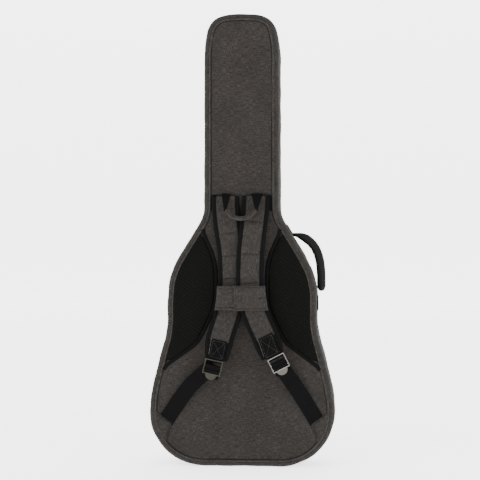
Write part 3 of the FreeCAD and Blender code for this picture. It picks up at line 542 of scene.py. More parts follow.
# the same heather canvas 1.3 times lighter: painted highlight along the raised piping cord
PIPING_PAINTED_HIGHLIGHT_CANVAS = canvas("canvas_painted_highlight_piping", 1.3)
MESH = mesh_cloth("air_mesh")
WEBBING = web("webbing")
TAPE = web("binding_tape", (10, 10, 10), 1.0 * MM)
ZIP_TAPE = web("zip_tape", (9, 9, 9), 0.8 * MM, 0.7)
SLEEVE = smooth_cloth("handle_sleeve", (11, 11, 10), sheen=0.0)
LINING = smooth_cloth("lining", (36, 36, 38), 0.5 * MM, 0.5)
FLEECE = smooth_cloth("inner_padding_cloth", (33, 33, 35), 0.8 * MM, 0.9, 0.5, 0.15 * MM)
THREAD = smooth_cloth("thread", (44, 42, 39), 0.3 * MM, 0.6)
# black thread colour, for real stitches and also for the dark strips and lines along the piping, the yoke
# seam and the corner patches, which are painted shade and painted shadow
BLACK_THREAD_AND_SHADE = smooth_cloth("black_thread_and_painted_shade", (10, 10, 10), 0.3 * MM, 0.6, sheen=0.0)
# pale colour for the line along one edge of each webbing tab, a painted highlight
PALE_EDGE_HIGHLIGHT = smooth_cloth("painted_edge_highlight", (72, 69, 65), 0.3 * MM, 0.6)
NICKEL = metal("bright_nickel", (108, 105, 101), 0.22)
# the left buckle is the same nickel hardware as the right; this darker copy is a painted dark reflection
NICKEL_PAINTED_DARK = metal("gunmetal", (64, 62, 56), 0.38)
ZIP_METAL = metal("zip_metal", (70, 70, 70), 0.35)
COIL = plastic("zip_coil", (26, 26, 26))

# ---------------------------------------------------------------- the bag's seam and planes
seam3 = face_loops("back_panel", (0, -1, 0))[0]
BACK = seam3[:, 1].mean()
SEAM = resample(seam3[:, [0, 2]], 4 * MM, closed=True)
if np.sum(SEAM[:, 0] * np.roll(SEAM[:, 1], -1) - np.roll(SEAM[:, 0], -1) * SEAM[:, 1]) < 0:
    SEAM = SEAM[::-1]
SEAM = smooth(SEAM, 1.6, closed=True)
SEAM_IN = box("back_gusset", "back_base_strip")[1][0] - SEAM[:, 0].max()

front_points = face_loops("lid_panel", (0, 1, 0), 0.99)[0]
slope, FACE0 = np.polyfit(front_points[:, 2], front_points[:, 1], 1)
hinge = JOINTS["lid_hinge"]
zip0 = hinge["pos_m"][1] - slope * hinge["pos_m"][2]


def face_y(z):
    return FACE0 + slope * z


def zip_y(z):
    return zip0 + slope * z


def tangents(loop):
    t = np.roll(loop, -1, 0) - np.roll(loop, 1, 0)
    return t / np.linalg.norm(t, axis=1)[:, None]


SEAM_T = tangents(SEAM)
SEAM_N = np.stack([SEAM_T[:, 1], -SEAM_T[:, 0]], 1)      # outward, for an anticlockwise loop
BASES = {"back": lambda z: np.full_like(z, BACK), "zip": zip_y, "face": face_y}


# ---------------------------------------------------------------- shell and lid
WALL = SEAM_IN + 2.4 * MM        # outside of the bag to the lining
ROUND = 16 * MM                  # depth of the bowed edge
ZIP_HALF = 6.5 * MM              # from the zip's centre to the edge of the canvas
TOOTH_PITCH = 2.5 * MM
PIPING_RADIUS = 2.1 * MM


def puckers(amount, seed):
    """Relief of the side walls: soft waves that fade out towards the panel seam and the zip."""
    def apply(points):
        normals = np.zeros_like(points)
        normals[:, :, 0] = SEAM_N[:, None, 0]
        normals[:, :, 2] = SEAM_N[:, None, 1]
        wave = ripple(points, 70 * MM, seed) * amount + ripple(points, 22 * MM, seed + 1) * amount * 0.3
        edge = np.linspace(0, 1, points.shape[1])
        fade = np.sin(np.pi * np.clip(edge, 0.0, 1.0)) ** 0.6
        return points + normals * (wave * fade[None, :])[:, :, None]
    return apply


def wall_profile(base, side):
    """Half of the side wall, from a panel seam round the bowed edge to the zip."""
    arc = np.linspace(0, math.pi / 2, 12)
    rows = [(SEAM_IN * math.sin(a) ** 0.8, base, side * ROUND * (1 - math.cos(a)) ** 1.1) for a in arc]
    return rows


def side_wall(name, body, base, side, nodes, seed):
    """Outer canvas of the side wall on one side of the zip."""
    profile = wall_profile(base, side)
    z = SEAM[:, 1]
    start = BASES[base](z) + profile[-1][2]
    stop = zip_y(z) - side * ZIP_HALF
    rows = [np.stack([(SEAM + SEAM_N * o)[:, 0], BASES[b](z) + dy, (SEAM + SEAM_N * o)[:, 1]], 1) for o, b,
        dy in profile]
    for share in np.linspace(0, 1, 14)[1:]:
        bulge = SEAM_IN + 1.2 * MM * math.sin(math.pi * share) * (0.6 if side < 0 else 1.0)
        xz = SEAM + SEAM_N * bulge
        rows.append(raised(xz, start + (stop - start) * share))
    xz = SEAM + SEAM_N * (SEAM_IN - 0.9 * MM)
    rows.append(raised(xz, stop + side * 0.5 * MM))
    points = puckers(0.55 * MM, seed)(band(rows))
    points[:, :, 2] = np.maximum(points[:, :, 2], 0.0)
    o = grid(name, points, CANVAS, wrap_u=True, flip=side < 0)
    return place(o, body, "canvas", *nodes, fill=0.7)


def zip_edge(name, body, side, nodes):
    """Bound edge of the padded wall beside the zip, from the canvas in to the lining."""
    z = SEAM[:, 1]
    rows = []
    for share in np.linspace(0, 1, 12):
        out = SEAM_IN - 0.6 * MM - share * (WALL - 1.0 * MM)
        sink = side * ZIP_HALF + side * 2.0 * MM * (1 - math.sin(math.pi * share)) - side * 2.0 * MM
        xz = SEAM + SEAM_N * out
        rows.append(raised(xz, zip_y(z) - sink))
    o = grid(name, band(rows), TAPE, wrap_u=True, flip=side < 0)
    return place(o, body, "foam", *nodes, fill=0.7)


def inner_wall(name, body, base, side, nodes):
    """Lining of the side wall on one side of the zip."""
    z = SEAM[:, 1]
    rows = []
    start = BASES[base](z) + side * WALL
    stop = zip_y(z) - side * 6.8 * MM
    for share in np.linspace(0, 1, 12):
        out = SEAM_IN - WALL - 0.5 * MM * math.sin(math.pi * share)
        xz = SEAM + SEAM_N * out
        rows.append(raised(xz, start + (stop - start) * share))
    points = band(rows)
    o = grid(name, points, LINING, wrap_u=True, flip=side > 0)
    return place(o, body, "lining", *nodes)


def chains(loop):
    """Left and right sides of a loop in (x, z) as functions of z, and its lowest and highest z."""
    z0, z1 = loop[:, 1].min(), loop[:, 1].max()
    eps = 0.25 * MM
    low = np.where(loop[:, 1] < z0 + eps)[0]
    high = np.where(loop[:, 1] > z1 - eps)[0]
    ends = {}
    for tag, pick in (("right", np.argmax), ("left", np.argmin)):
        ends[tag] = (low[pick(loop[low, 0])], high[pick(loop[high, 0])])
    n = len(loop)

    def walk(ends, sign):
        a, b = ends
        forward = [(a + k) % n for k in range((b - a) % n + 1)]
        backward = [(a - k) % n for k in range((a - b) % n + 1)]
        return max((loop[forward], loop[backward]), key=lambda q: sign * q[:, 0].mean())

    return walk(ends["left"], -1), walk(ends["right"], 1), z0, z1


def fill(loop, step, cols, even=0.35):
    """Grid of (x, z) points filling a loop that each level line crosses once, and each point's distance
    to the loop. Columns crowd towards the edges."""
    left, right, z0, z1 = chains(loop)
    longer = right if len(right) >= len(left) else left
    path = resample(longer, step)
    z = np.maximum.accumulate(path[:, 1])
    z[0], z[-1] = z0, z1

    def x_of(chain):
        c = chain[np.argsort(chain[:, 1], kind="stable")] if chain[0, 1] > chain[-1, 1] else chain
        return np.interp(z, np.maximum.accumulate(c[:, 1]) + np.arange(len(c)) * 1e-9, c[:, 0])

    xl, xr = x_of(left), x_of(right)
    t = np.linspace(0, 1, cols)
    u = even * t + (1 - even) * (0.5 - 0.5 * np.cos(math.pi * t))
    x = xl[:, None] + (xr - xl)[:, None] * u[None, :]
    zz = np.broadcast_to(z[:, None], x.shape)
    points = np.stack([x, zz], 2)
    flat = points.reshape(-1, 2)
    dense = resample(loop, 1.5 * MM, closed=True)
    dist = np.concatenate([np.sqrt(((part[:,
        None] - dense[None]) ** 2).sum(2).min(1)) for part in np.array_split(flat,
        max(len(flat) // 2000, 1))])
    dist = dist.reshape(x.shape)
    dist[:, 0] = dist[:, -1] = 0
    return points, dist


def rise(dist, edge, crown, reach):
    """Height of a stuffed surface over its seam: a round edge, then a slow crown."""
    e = np.clip(dist / max(edge, 1e-6), 0, 1)
    return edge * np.sqrt(np.clip(1 - (1 - e) ** 2, 0, 1)) + crown * (1 - np.exp(-dist / reach))


def cushion(name, loop, plane, side, material, edge, crown, reach=40 * MM, step=5 * MM, cols=60,
        relief=None, seed=0):
    """Stuffed surface over a flat loop. plane is y as a function of z, side -1 stands out towards -Y."""
    xz, dist = fill(loop, step, cols)
    height = rise(dist, edge, crown, reach)
    points = np.stack([xz[:, :, 0], plane(xz[:, :, 1]), xz[:, :, 1]], 2)
    if relief:
        height = height + relief * np.clip(dist / (12 * MM), 0, 1) * ripple(points, 90 * MM, seed)
    points[:, :, 1] += side * height
    uv = xz.copy()
    return grid(name, points, material, uv=uv, flip=side > 0)


def flat(value):
    return lambda z: np.full_like(z, value)


side_wall("back_side_wall", "shell", "back", 1, ["back_gusset", "back_base_strip"], 11)
side_wall("lid_side_wall", "lid", "face", -1, ["lid_gusset", "lid_base_strip"], 21)
zip_edge("back_zip_edge", "shell", 1, ["back_gusset_foam"])
zip_edge("lid_zip_edge", "lid", -1, ["lid_gusset_foam"])
inner_wall("back_side_lining", "shell", "back", 1, ["back_gusset_lining"])
inner_wall("lid_side_lining", "lid", "face", -1, ["lid_gusset_lining"])

place(cushion("back_canvas", SEAM, flat(BACK), -1, CANVAS, 0.6 * MM, 1.6 * MM, 30 * MM, relief=0.5 * MM,
    seed=31), "shell", "canvas", "back_panel", "back_panel_foam", fill=0.6)
lid_canvas = cushion("lid_canvas", SEAM, face_y, 1, CANVAS, 0.6 * MM, 1.6 * MM, 30 * MM, relief=0.5 * MM,
    seed=32)
slider_lo, slider_hi = box("pocket_slider")
for v in lid_canvas.data.vertices:          # keeps the pocket slider's way clear
    if slider_lo[2] - 7 * MM < v.co.z < slider_hi[2] + 7 * MM:
        v.co.y = min(v.co.y, face_y(v.co.z) - 0.3 * MM)
place(lid_canvas, "lid", "canvas", "lid_panel", "lid_panel_foam", fill=0.6)
inner = SEAM - SEAM_N * (WALL - SEAM_IN)
place(cushion("back_inner_lining", inner, flat(BACK + WALL), 1, LINING, 0.6 * MM, 0.5 * MM,
    relief=0.25 * MM, seed=33), "shell", "lining", "back_lining")
place(cushion("lid_inner_lining", inner, lambda z: face_y(z) - WALL, -1, LINING, 0.6 * MM, 0.5 * MM,
    relief=0.25 * MM, seed=34), "lid", "lining", "lid_lining")


def cord_round(name, body, base, side, node):
    """Covered cord along a panel seam."""
    centre = raised(SEAM, BASES[base](SEAM[:, 1]) - side * 1.2 * MM)
    normal = raised(SEAM_N, 0.0)
    section = PIPING_RADIUS * circle(14)[None]
    rows = centre[:, None] + section[..., :1] * normal[:, None] + section[..., 1:] * np.array([0, -side, 0])
    # the cord's lighter canvas is a painted highlight
    o = grid(name, rows, PIPING_PAINTED_HIGHLIGHT_CANVAS, wrap_u=True, wrap_v=True, flip=side > 0)
    return place(o, body, "piping", node)


def seam_shadow_strip(name, body, base, side, slot_name):
    """Dark strip in black thread colour just inside the piping: painted shadow of the groove between the
    piping and the panel.
    """
    rows = []
    for d, h in ((2.2, 0.2), (2.6, 0.75), (3.6, 1.0), (4.6, 0.95), (5.4, 0.5)):
        xz = SEAM - SEAM_N * d * MM
        rows.append(raised(xz, BASES[base](xz[:, 1]) - side * h * MM))
    o = grid(name, band(rows), BLACK_THREAD_AND_SHADE, wrap_u=True, flip=side > 0)
    return place(o, body, slot_name)


# dark strips just inside the piping, painted shadow of the seam groove
seam_shadow_strip("back_seam_shadow_strip", "shell", "back", 1, "piping")
seam_shadow_strip("lid_seam_shadow_strip", "lid", "face", -1, "piping")
cord_round("back_piping_cord", "shell", "back", 1, "back_piping")
cord_round("lid_piping_cord", "lid", "face", -1, "lid_piping")

# ---------------------------------------------------------------- main zip
hinge_lo, hinge_hi = box("hinge_cloth_back")
at_hinge = (SEAM[:, 0] < 0) & (SEAM[:, 1] > hinge_lo[2]) & (SEAM[:, 1] < hinge_hi[2])
first = np.where(at_hinge & ~np.roll(at_hinge, 1))[0][0]
ORDER = np.roll(np.arange(len(SEAM)), -first)
HINGE_RUN = ORDER[:at_hinge.sum() + 1]
ZIP_RUN = np.append(ORDER[at_hinge.sum():], ORDER[0])


def zip_strip(name, body, side, inner_edge, outer_edge, run, material, node, slot, out=0.3 * MM):
    """Flat strip of cloth in the zip's gap, from near its centre plane to the bound edge."""
    rows = []
    for share in np.linspace(0, 1, 7):
        d = inner_edge + (outer_edge - inner_edge) * share
        o = SEAM_IN - 0.5 * MM + out * math.cos(math.pi * (share - 0.5))
        xz = (SEAM + SEAM_N * o)[run]
        rows.append(raised(xz, zip_y(xz[:, 1]) - side * d))
    o = grid(name, band(rows), material, flip=side < 0)
    return place(thicken(o, 0.8 * MM), body, slot, node)


def coil(name, body, side, node):
    """One half of a nylon coil zip: a row of teeth that hook the other half's."""
    line = (SEAM + SEAM_N * (SEAM_IN + 0.1 * MM))[ZIP_RUN]
    path = resample(line, TOOTH_PITCH)
    if side < 0:
        path = (path[1:] + path[:-1]) / 2
    t = unit(np.gradient(path, axis=0))
    n = np.stack([t[:, 1], -t[:, 0]], 1)
    profile = [(-0.3, 0.55), (0.4, 0.75), (1.6, 0.75), (2.3, 0.55), (2.7, 0.25)]
    verts, faces = [], []
    for p, tt, nn in zip(path, t, n):
        y0 = zip_y(p[1])
        base = len(verts)
        for across, half in profile:
            y = y0 - side * (across - 0.9) * MM
            for a, b in ((-half, 0.0), (-half * 0.75, 0.55), (half * 0.75, 0.55), (half, 0.0)):
                q = p + tt * a * MM + nn * b * MM
                verts.append((q[0], y, q[1]))
        for r in range(len(profile) - 1):
            for k in range(3):
                i = base + r * 4 + k
                faces.append((i, i + 1, i + 5, i + 4))
        faces.append((base, base + 3, base + 2, base + 1))
        last = base + (len(profile) - 1) * 4
        faces.append((last, last + 1, last + 2, last + 3))
    return place(plain_mesh(name, verts, faces, COIL), body, "zip_teeth", node)


for tag, body, side in (("back", "shell", 1), ("lid", "lid", -1)):
    zip_strip("zip_tape_" + tag + "_cloth", body, side, 0.9 * MM, 6.9 * MM, ZIP_RUN, ZIP_TAPE,
        "zip_tape_" + tag, "zip_tape")
    coil("zip_coil_" + tag, body, side, "zip_teeth_" + tag)


def hinge_cloth():
    """Strip of canvas that joins the two halves in place of the zip."""
    rows = []
    for share in np.linspace(-1, 1, 17):
        out = SEAM_IN - 0.6 * MM + 1.7 * MM * math.cos(share * math.pi / 2)
        xz = (SEAM + SEAM_N * out)[HINGE_RUN]
        rows.append(raised(xz, zip_y(xz[:, 1]) + share * 6.9 * MM))
    o = thicken(grid("hinge_cloth", band(rows), CANVAS), 0.8 * MM)
    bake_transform(o)
    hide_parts("hinge_cloth_back", "hinge_cloth_lid")


hinge_cloth()


def cut(names, point, normal):
    """Points where a plane cuts CAD nodes."""
    hits = []
    normal = np.array(normal, float)
    for name in names:
        co, tris = SLICED.setdefault(name, node_mesh(name))
        side = (co - point) @ normal
        for i, j in ((0, 1), (1, 2), (2, 0)):
            a, b = tris[:, i], tris[:, j]
            crossing = side[a] * side[b] < 0
            a, b = a[crossing], b[crossing]
            share = (side[a] / (side[a] - side[b]))[:, None]
            hits.append(co[a] + (co[b] - co[a]) * share)
    return np.vstack(hits)


def curve(points, step):
    """Smooth path through points, at about this spacing."""
    points = np.asarray(points, float)
    padded = np.vstack([2 * points[0] - points[1], points, 2 * points[-1] - points[-2]])
    out = []
    for p0, p1, p2, p3 in zip(padded, padded[1:], padded[2:], padded[3:]):
        n = max(int(np.linalg.norm(p2 - p1) / step), 2)
        t = np.linspace(0, 1, n, endpoint=False)[:, None]
        out.append(0.5 * (2 * p1 + (p2 - p0) * t + (2 * p0 - 5 * p1 + 4 * p2 - p3) * t ** 2
                          + (3 * p1 - p0 - 3 * p2 + p3) * t ** 3))
    return np.vstack(out + [points[-1:]])


def softened(name, node, voxel, passes, material):
    """Rounded copy of a CAD node's shape, for foam under cloth."""
    me = NODES[node].data.copy()
    me.materials.clear()
    me.materials.append(material)
    o = bpy.data.objects.new(name, me)
    bpy.context.scene.collection.objects.link(o)
    for kind, values in (("REMESH", {"mode": "VOXEL", "voxel_size": voxel}),
            ("SMOOTH", {"factor": 0.5, "iterations": passes})):
        m = o.modifiers.new(kind, kind)
        for key, value in values.items():
            setattr(m, key, value)
    depsgraph = bpy.context.evaluated_depsgraph_get()
    done = bpy.data.meshes.new_from_object(o.evaluated_get(depsgraph))
    o.modifiers.clear()
    o.data = done
    done.name = name
    done.polygons.foreach_set("use_smooth", [True] * len(done.polygons))
    layer = done.uv_layers.new(name="UVMap")
    for poly in done.polygons:
        n = poly.normal
        drop = max(range(3), key=lambda k: abs(n[k]))
        for li in poly.loop_indices:
            c = done.vertices[done.loops[li].vertex_index].co
            layer.data[li].uv = (c[(drop + 1) % 3], c[(drop + 2) % 3])
    return o


def node_loop(node, step=3 * MM, sigma=1.0):
    """Outline in (x, z) of a node's face that looks away from the back."""
    loop = face_loops(node, (0, -1, 0))[0][:, [0, 2]]
    return smooth(resample(loop, step, closed=True), sigma, closed=True)


PAD_REACH = 15 * MM              # a pad that ends this close to the piping is drawn out to it
PAD_OFF_SEAM = 1.2 * MM


def pads():
    for side in ("left", "right"):
        node = side + "_back_pad"
        loop = node_loop(node)
        away = loop[:, None] - SEAM[None]
        apart = np.sqrt((away ** 2).sum(2))
        near, gap = apart.argmin(1), apart.min(1)
        pull = np.clip((PAD_REACH - gap) / (4 * MM), 0, 1)[:, None]
        beside = away[np.arange(len(loop)), near] * (PAD_OFF_SEAM / np.maximum(gap, 1e-6))[:, None]
        loop = loop + pull * (SEAM[near] + beside - loop)
        o = cushion(side + "_mesh_pad", smooth(loop, 1.0, closed=True), flat(BACK - 0.3 * MM), -1, MESH,
            5.0 * MM, 2.4 * MM, 25 * MM, step=4 * MM, cols=48, relief=0.6 * MM, seed=41)
        place(o, "shell", "mesh", node, fill=0.6)
        left, right, z0, z1 = chains(resample(face_loops(side + "_pad_binding", (0, -1, 0))[0][:, [0, 2]],
            2 * MM, closed=True))
        z = np.linspace(z1 - 1 * MM, z0 + 1 * MM, 120)
        xs = []
        for chain in (left, right):
            c = chain[np.argsort(chain[:, 1], kind="stable")]
            xs.append(np.interp(z, c[:, 1], c[:, 0]))
        mid = smooth(resample(np.stack([(xs[0] + xs[1]) / 2, z], 1), 4 * MM), 1.5)
        path = raised(mid, BACK - 2.2 * MM)
        tape = sweep(side + "_pad_edge_tape", path, (0, -1, 0), oval(4.4 * MM, 2.6 * MM, 2.6), TAPE)
        place(tape, "shell", "binding", side + "_pad_binding")


def yoke():
    loop = node_loop("strap_yoke")
    o = cushion("yoke_panel", loop, flat(BACK - 0.5 * MM), -1, TAPE, 0.8 * MM, 0.3 * MM, step=3 * MM,
        cols=60, relief=0.3 * MM, seed=51)
    place(o, "shell", "binding", "strap_yoke")
    lo, hi = box("strap_yoke")
    y, z = lo[1] - 0.6 * MM, hi[2] + 0.6 * MM
    # near-continuous dark line along the yoke's top seam: painted shade in the seam's crease
    line = straight((lo[0] + 3 * MM, y, z), (hi[0] - 3 * MM, y, z), 40)
    place(stitches_and_painted_lines("yoke_seam_shade_line", [line], BLACK_THREAD_AND_SHADE, *SEAM_SHADE_LINE), "shell", "binding")


class Strap:
    """Centre line, half width and directions of a padded strap, read off its CAD solids."""

    def __init__(self, side):
        self.side = side
        self.body = "strap_" + side
        names = [side + "_shoulder_strap", side + "_strap_binding"]
        lo, hi = box(*names)
        z = np.linspace(hi[2] - 0.5 * MM, lo[2] + 24 * MM, 60)
        rows = []
        for height in z:
            a, b = slice_at(names, height)
            rows.append(((a[0] + b[0]) / 2, (a[1] + b[1]) / 2, height, (b[0] - a[0]) / 2))
        rows = np.array(rows)
        down = rows[-1, :3] - rows[-6, :3]
        down /= np.linalg.norm(down)
        tilt = abs(down[0])
        end_half = 0.75 * rows[-1, 3]
        more = (rows[-1, 2] - lo[2] - end_half * tilt) / -down[2]
        extra = [rows[-1, :3] + down * more * k for k in (0.34, 0.67, 1.0)]
        line = np.vstack([rows[:, :3], extra])
        self.path = smooth(resample(line, 2.5 * MM), 4)
        t = unit(np.gradient(self.path, axis=0))
        wide = np.interp(self.path[:, 2], rows[::-1, 2], rows[::-1, 3])
        full = np.median(smooth((wide * np.abs(t[:, 2]))[:, None], 3)[:, 0])
        taper = np.clip((self.path[:, 2] - lo[2]) / (38 * MM), 0, 1)
        self.half = full * (0.74 + 0.26 * taper ** 0.7)
        self.t, self.w, self.n = frames(self.path, (0, -1, 0))
        if self.w[0, 0] < 0:
            self.w = -self.w
        self.n = np.cross(self.t, self.w)
        if self.n[0, 1] > 0:
            self.n = -self.n
        joint = JOINTS[side + "_buckle_tilt"]
        self.bar = np.array(joint["pos_m"])
        self.across = -np.array(joint["axis"])
        down = self.t[-1] - self.across * (self.t[-1] @ self.across)
        self.down = down / np.linalg.norm(down)
        self.out = np.cross(self.down, self.across)
        if self.out[1] > 0:
            self.out = -self.out

    def strip(self, name, u0, u1, n_of, rows, material, cols=17, **kw):
        """Open strip on the strap, from u0 to u1 across (functions of the half width)."""
        points = []
        for i in rows:
            u = np.linspace(u0(self.half[i]), u1(self.half[i]), cols)
            n = n_of(u, self.half[i], self.path[i, 2])
            points.append(self.path[i] + u[:, None] * self.w[i] + n[:, None] * self.n[i])
        return grid(name, np.array(points), material, **kw)


EDGE = 11 * MM                   # bound edge of a padded strap
THICK = 9 * MM                   # padded strap at its middle
WEB_WIDE = 38 * MM
WEB_THICK = 1.7 * MM
THREADED_THICK = 1.6 * MM


def strap(side, creases, seed):
    s = Strap(side)
    rows = range(len(s.path))
    tab_top = box(side + "_webbing_tab")[1][2]
    face_rows = [i for i in rows if s.path[i, 2] > tab_top - 12 * MM]

    def face(u, half, z):
        edge = np.clip((half - EDGE - np.abs(u)) / (7 * MM), 0, 1)
        n = THICK / 2 - 1.1 * MM + 1.3 * MM * np.sqrt(1 - (1 - edge) ** 2) + 0.5 * MM * (1 - (u / half) ** 2)
        for c in creases:
            n = n - 2.4 * MM * math.exp(-((z - c) / (2.8 * MM)) ** 2) * (0.4 + 0.6 * edge)
        pts = np.stack([u, np.full_like(u, z), np.zeros_like(u)], 1)
        return n + 0.45 * MM * ripple(pts, 45 * MM, seed) * edge

    def under(u, half, z):
        edge = np.clip((half - EDGE - np.abs(u)) / (7 * MM), 0, 1)
        return -(THICK / 2 - 1.1 * MM) - 0.9 * MM * np.sqrt(1 - (1 - edge) ** 2)

    inner = lambda h: h - EDGE + 0.8 * MM
    front = s.strip(side + "_strap_face", lambda h: -inner(h), inner, face, face_rows, STRAP_CANVAS,
        cols=27, flip=True)
    place(front, s.body, "strap_canvas", side + "_shoulder_strap", fill=0.5)
    back = s.strip(side + "_strap_mesh", lambda h: -inner(h), inner, under, rows, MESH, cols=21)
    place(back, s.body, "mesh", fill=0.5)
    tail_rows = [i for i in rows if s.path[i, 2] <= tab_top - 8 * MM]
    tail = s.strip(side + "_strap_tail", lambda h: -inner(h), inner, lambda u, h,
        z: face(u, h, z) - 0.2 * MM, tail_rows, TAPE, cols=17, flip=True)
    place(tail, s.body, "binding", fill=0.5)
    edges = []
    for k in (-1, 1):
        points = []
        for i in rows:
            section = oval(EDGE / 2 + 0.3 * MM, THICK / 2 - 0.7 * MM, 2.5, 24)
            middle = k * (s.half[i] - EDGE / 2)
            wave = 0.25 * MM * math.sin(i * 0.35 + k)
            points.append(s.path[i] + (section[:, :1] + middle) * s.w[i] + (section[:, 1:] + wave) * s.n[i])
        edges.append(grid("edge", np.array(points), TAPE, wrap_v=True, caps=True))
    place(joined(side + "_strap_edge_tape", edges), s.body, "binding", side + "_strap_binding")
    lines = []
    for k in (-1, 1):
        u = k * (s.half - EDGE + 2 * MM)
        lines.append((s.path + u[:, None] * s.w + (THICK / 2 - 0.5 * MM) * s.n, s.n))
    for c in creases:
        i = int(np.argmin(np.abs(s.path[:, 2] - c)))
        u = np.linspace(-inner(s.half[i]) + 3 * MM, inner(s.half[i]) - 3 * MM, 12)
        n = face(u, s.half[i], s.path[i, 2]) + 0.1 * MM
        lines.append((s.path[i] + u[:, None] * s.w[i] + n[:, None] * s.n[i], np.tile(s.n[i], (12, 1))))
    place(stitches_and_painted_lines(side + "_strap_stitches", lines, BLACK_THREAD_AND_SHADE, *STRAP_STITCH), s.body, "binding")
    return s


def webbing_parts(s):
    """Webbing tab with its box stitch, folded round the buckle's bar, and the threaded webbing."""
    side = s.side
    tab_top = box(side + "_webbing_tab")[1][2]
    lift = THICK / 2 + 1.3 * MM
    on = [i for i in range(len(s.path)) if s.path[i, 2] < tab_top - 6 * MM]
    flat_part = [s.path[i] + s.n[i] * lift for i in on[::4]]
    r = 2.9 * MM
    turn = [s.bar - s.out * 1.4 * MM - s.down * 5 * MM, s.bar - s.out * r - s.down * 0.5 * MM,
        s.bar - s.out * (r + 1.2 * MM) + s.down * 3 * MM,
        s.bar - s.out * (r + 2.8 * MM) + s.down * 3.5 * MM,
        s.bar - s.out * (r + 3.6 * MM) - s.down * 1 * MM, s.bar - s.out * (r + 3.4 * MM) - s.down * 6 * MM]
    flat_part = [p for p in flat_part if (s.bar - p) @ s.down > 9 * MM]
    path = curve(flat_part + turn, 2 * MM)
    t = unit(np.gradient(path, axis=0))
    across = s.across / np.linalg.norm(s.across)
    n = np.cross(t, across)
    if n[0, 1] > 0:
        n = -n
    tab = flat_webbing(side + "_tab_webbing", path, across, n, WEB_WIDE, WEB_THICK)
    place(tab, s.body, "webbing", side + "_webbing_tab")
    a, b = s.path[on[0]] + s.n[on[0]] * (lift + 0.9 * MM), s.path[on[-1]] + s.n[on[-1]] * (lift + 0.9 * MM)
    inset = 4 * MM
    along = (b - a) / np.linalg.norm(b - a)
    a, b = a + along * inset, b - along * inset
    half = WEB_WIDE / 2 - inset
    corner = [a - across * half, a + across * half, b + across * half, b - across * half]
    lines = [(np.linspace(p, q, 12), np.tile(s.n[on[0]], (12, 1))) for p,
        q in ((corner[0], corner[1]), (corner[1], corner[2]), (corner[2], corner[3]),
        (corner[3], corner[0]), (corner[0], corner[2]), (corner[1], corner[3]))]
    place(stitches_and_painted_lines(side + "_tab_stitches", lines, THREAD, *TAB_STITCH), s.body, "webbing")
    # near-continuous pale line on one side of the tab only: painted highlight where the webbing's edge
    # catches the light
    edge = -(WEB_WIDE / 2 + 0.6 * MM)
    p, q = s.path[on[0]], s.path[on[-1]] - s.t[on[-1]] * 10 * MM
    line = np.linspace(p + across * edge + s.n[on[0]] * lift, q + across * edge + s.n[on[0]] * lift, 20)
    place(stitches_and_painted_lines(side + "_tab_edge_highlight", [(line, np.tile(s.n[on[0]], (20, 1)))], PALE_EDGE_HIGHLIGHT,
        *EDGE_HIGHLIGHT_LINE), s.body, "webbing")
    local = [(-6.0, 43), (-5.6, 36), (-4.2, 27), (-3.2, 19), (-2.7, 14), (-1.2, 11.2), (1.6, 11.4),
        (3.0, 14.6), (2.6, 18), (0.9, 21.2), (2.6, 24.6), (3.0, 27.4), (1.6, 30.2), (-1.6, 32.6),
        (-2.9, 36.5), (-3.4, 43)]
    path = curve([s.bar + s.out * a * MM + s.down * b * MM for a, b in local], 1.5 * MM)
    t = unit(np.gradient(path, axis=0))
    n = np.cross(t, across)
    threaded = flat_webbing(side + "_threaded_webbing", path, across, n, WEB_WIDE - 2 * MM, THREADED_THICK)
    place(threaded, "buckle_" + side, "webbing", side + "_buckle_webbing")


def lower_webbing(s):
    """Webbing from the corner patch up to the buckle."""
    side = s.side
    node = side + "_lower_webbing"
    lo, hi = box(node)
    sign = 1 if side == "right" else -1
    co, _ = node_mesh(node)
    far = co[np.argmax(co[:, 0] * sign)], co[np.argmin(co[:, 0] * sign)]
    direction = np.array([far[1][0] - far[0][0], 0, hi[2] - lo[2]])
    direction /= np.linalg.norm(direction)
    run = co @ direction
    path = []
    for d in np.linspace(run.min() + 22 * MM, run.max() - 12 * MM, 9):
        hits = cut([node], direction * d, direction)
        path.append((hits.min(0) + hits.max(0)) / 2)
    path[0] = path[0] + (path[0] - path[1]) * 0.4
    path[0][1] = BACK - 1.6 * MM
    on = path[-1] - path[-3]
    on /= np.linalg.norm(on)
    on = np.array([on[0], 0, on[2]]) / math.hypot(on[0], on[2])
    tip = path[-1] + on * 40 * MM
    behind = s.bar - s.out * 10 * MM + s.down * 6 * MM
    tip[1] = behind[1] + 1.5 * MM
    mid = (path[-1] + tip) / 2
    turn = tip + on * 3 * MM - np.array([0, 2.2 * MM, 0])
    goal = s.bar + s.down * 43 * MM - s.out * 6.2 * MM
    fold = s.bar + s.down * 20 * MM - s.out * 7.6 * MM
    path = path + [mid, tip, turn, tip - on * 2 * MM - np.array([0, 3.2 * MM, 0]), fold, goal]
    path = curve(path, 4 * MM)
    share = np.linspace(0, 1, len(path))[:, None]
    start_across = np.cross(direction, (0, -1, 0))
    end_across = s.across if s.across @ start_across > 0 else -s.across
    late = np.clip((share - 0.7) / 0.25, 0, 1)
    mixed = start_across * (1 - late) + end_across * late
    t = unit(np.gradient(path, axis=0))
    n = unit(np.cross(mixed, t))
    w = np.cross(t, n)
    o = flat_webbing(side + "_strap_webbing", path, w[:, None], n, WEB_WIDE, WEB_THICK)
    start = path[len(path) // 5]
    tuple(start)
    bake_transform(o)
    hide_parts(node)


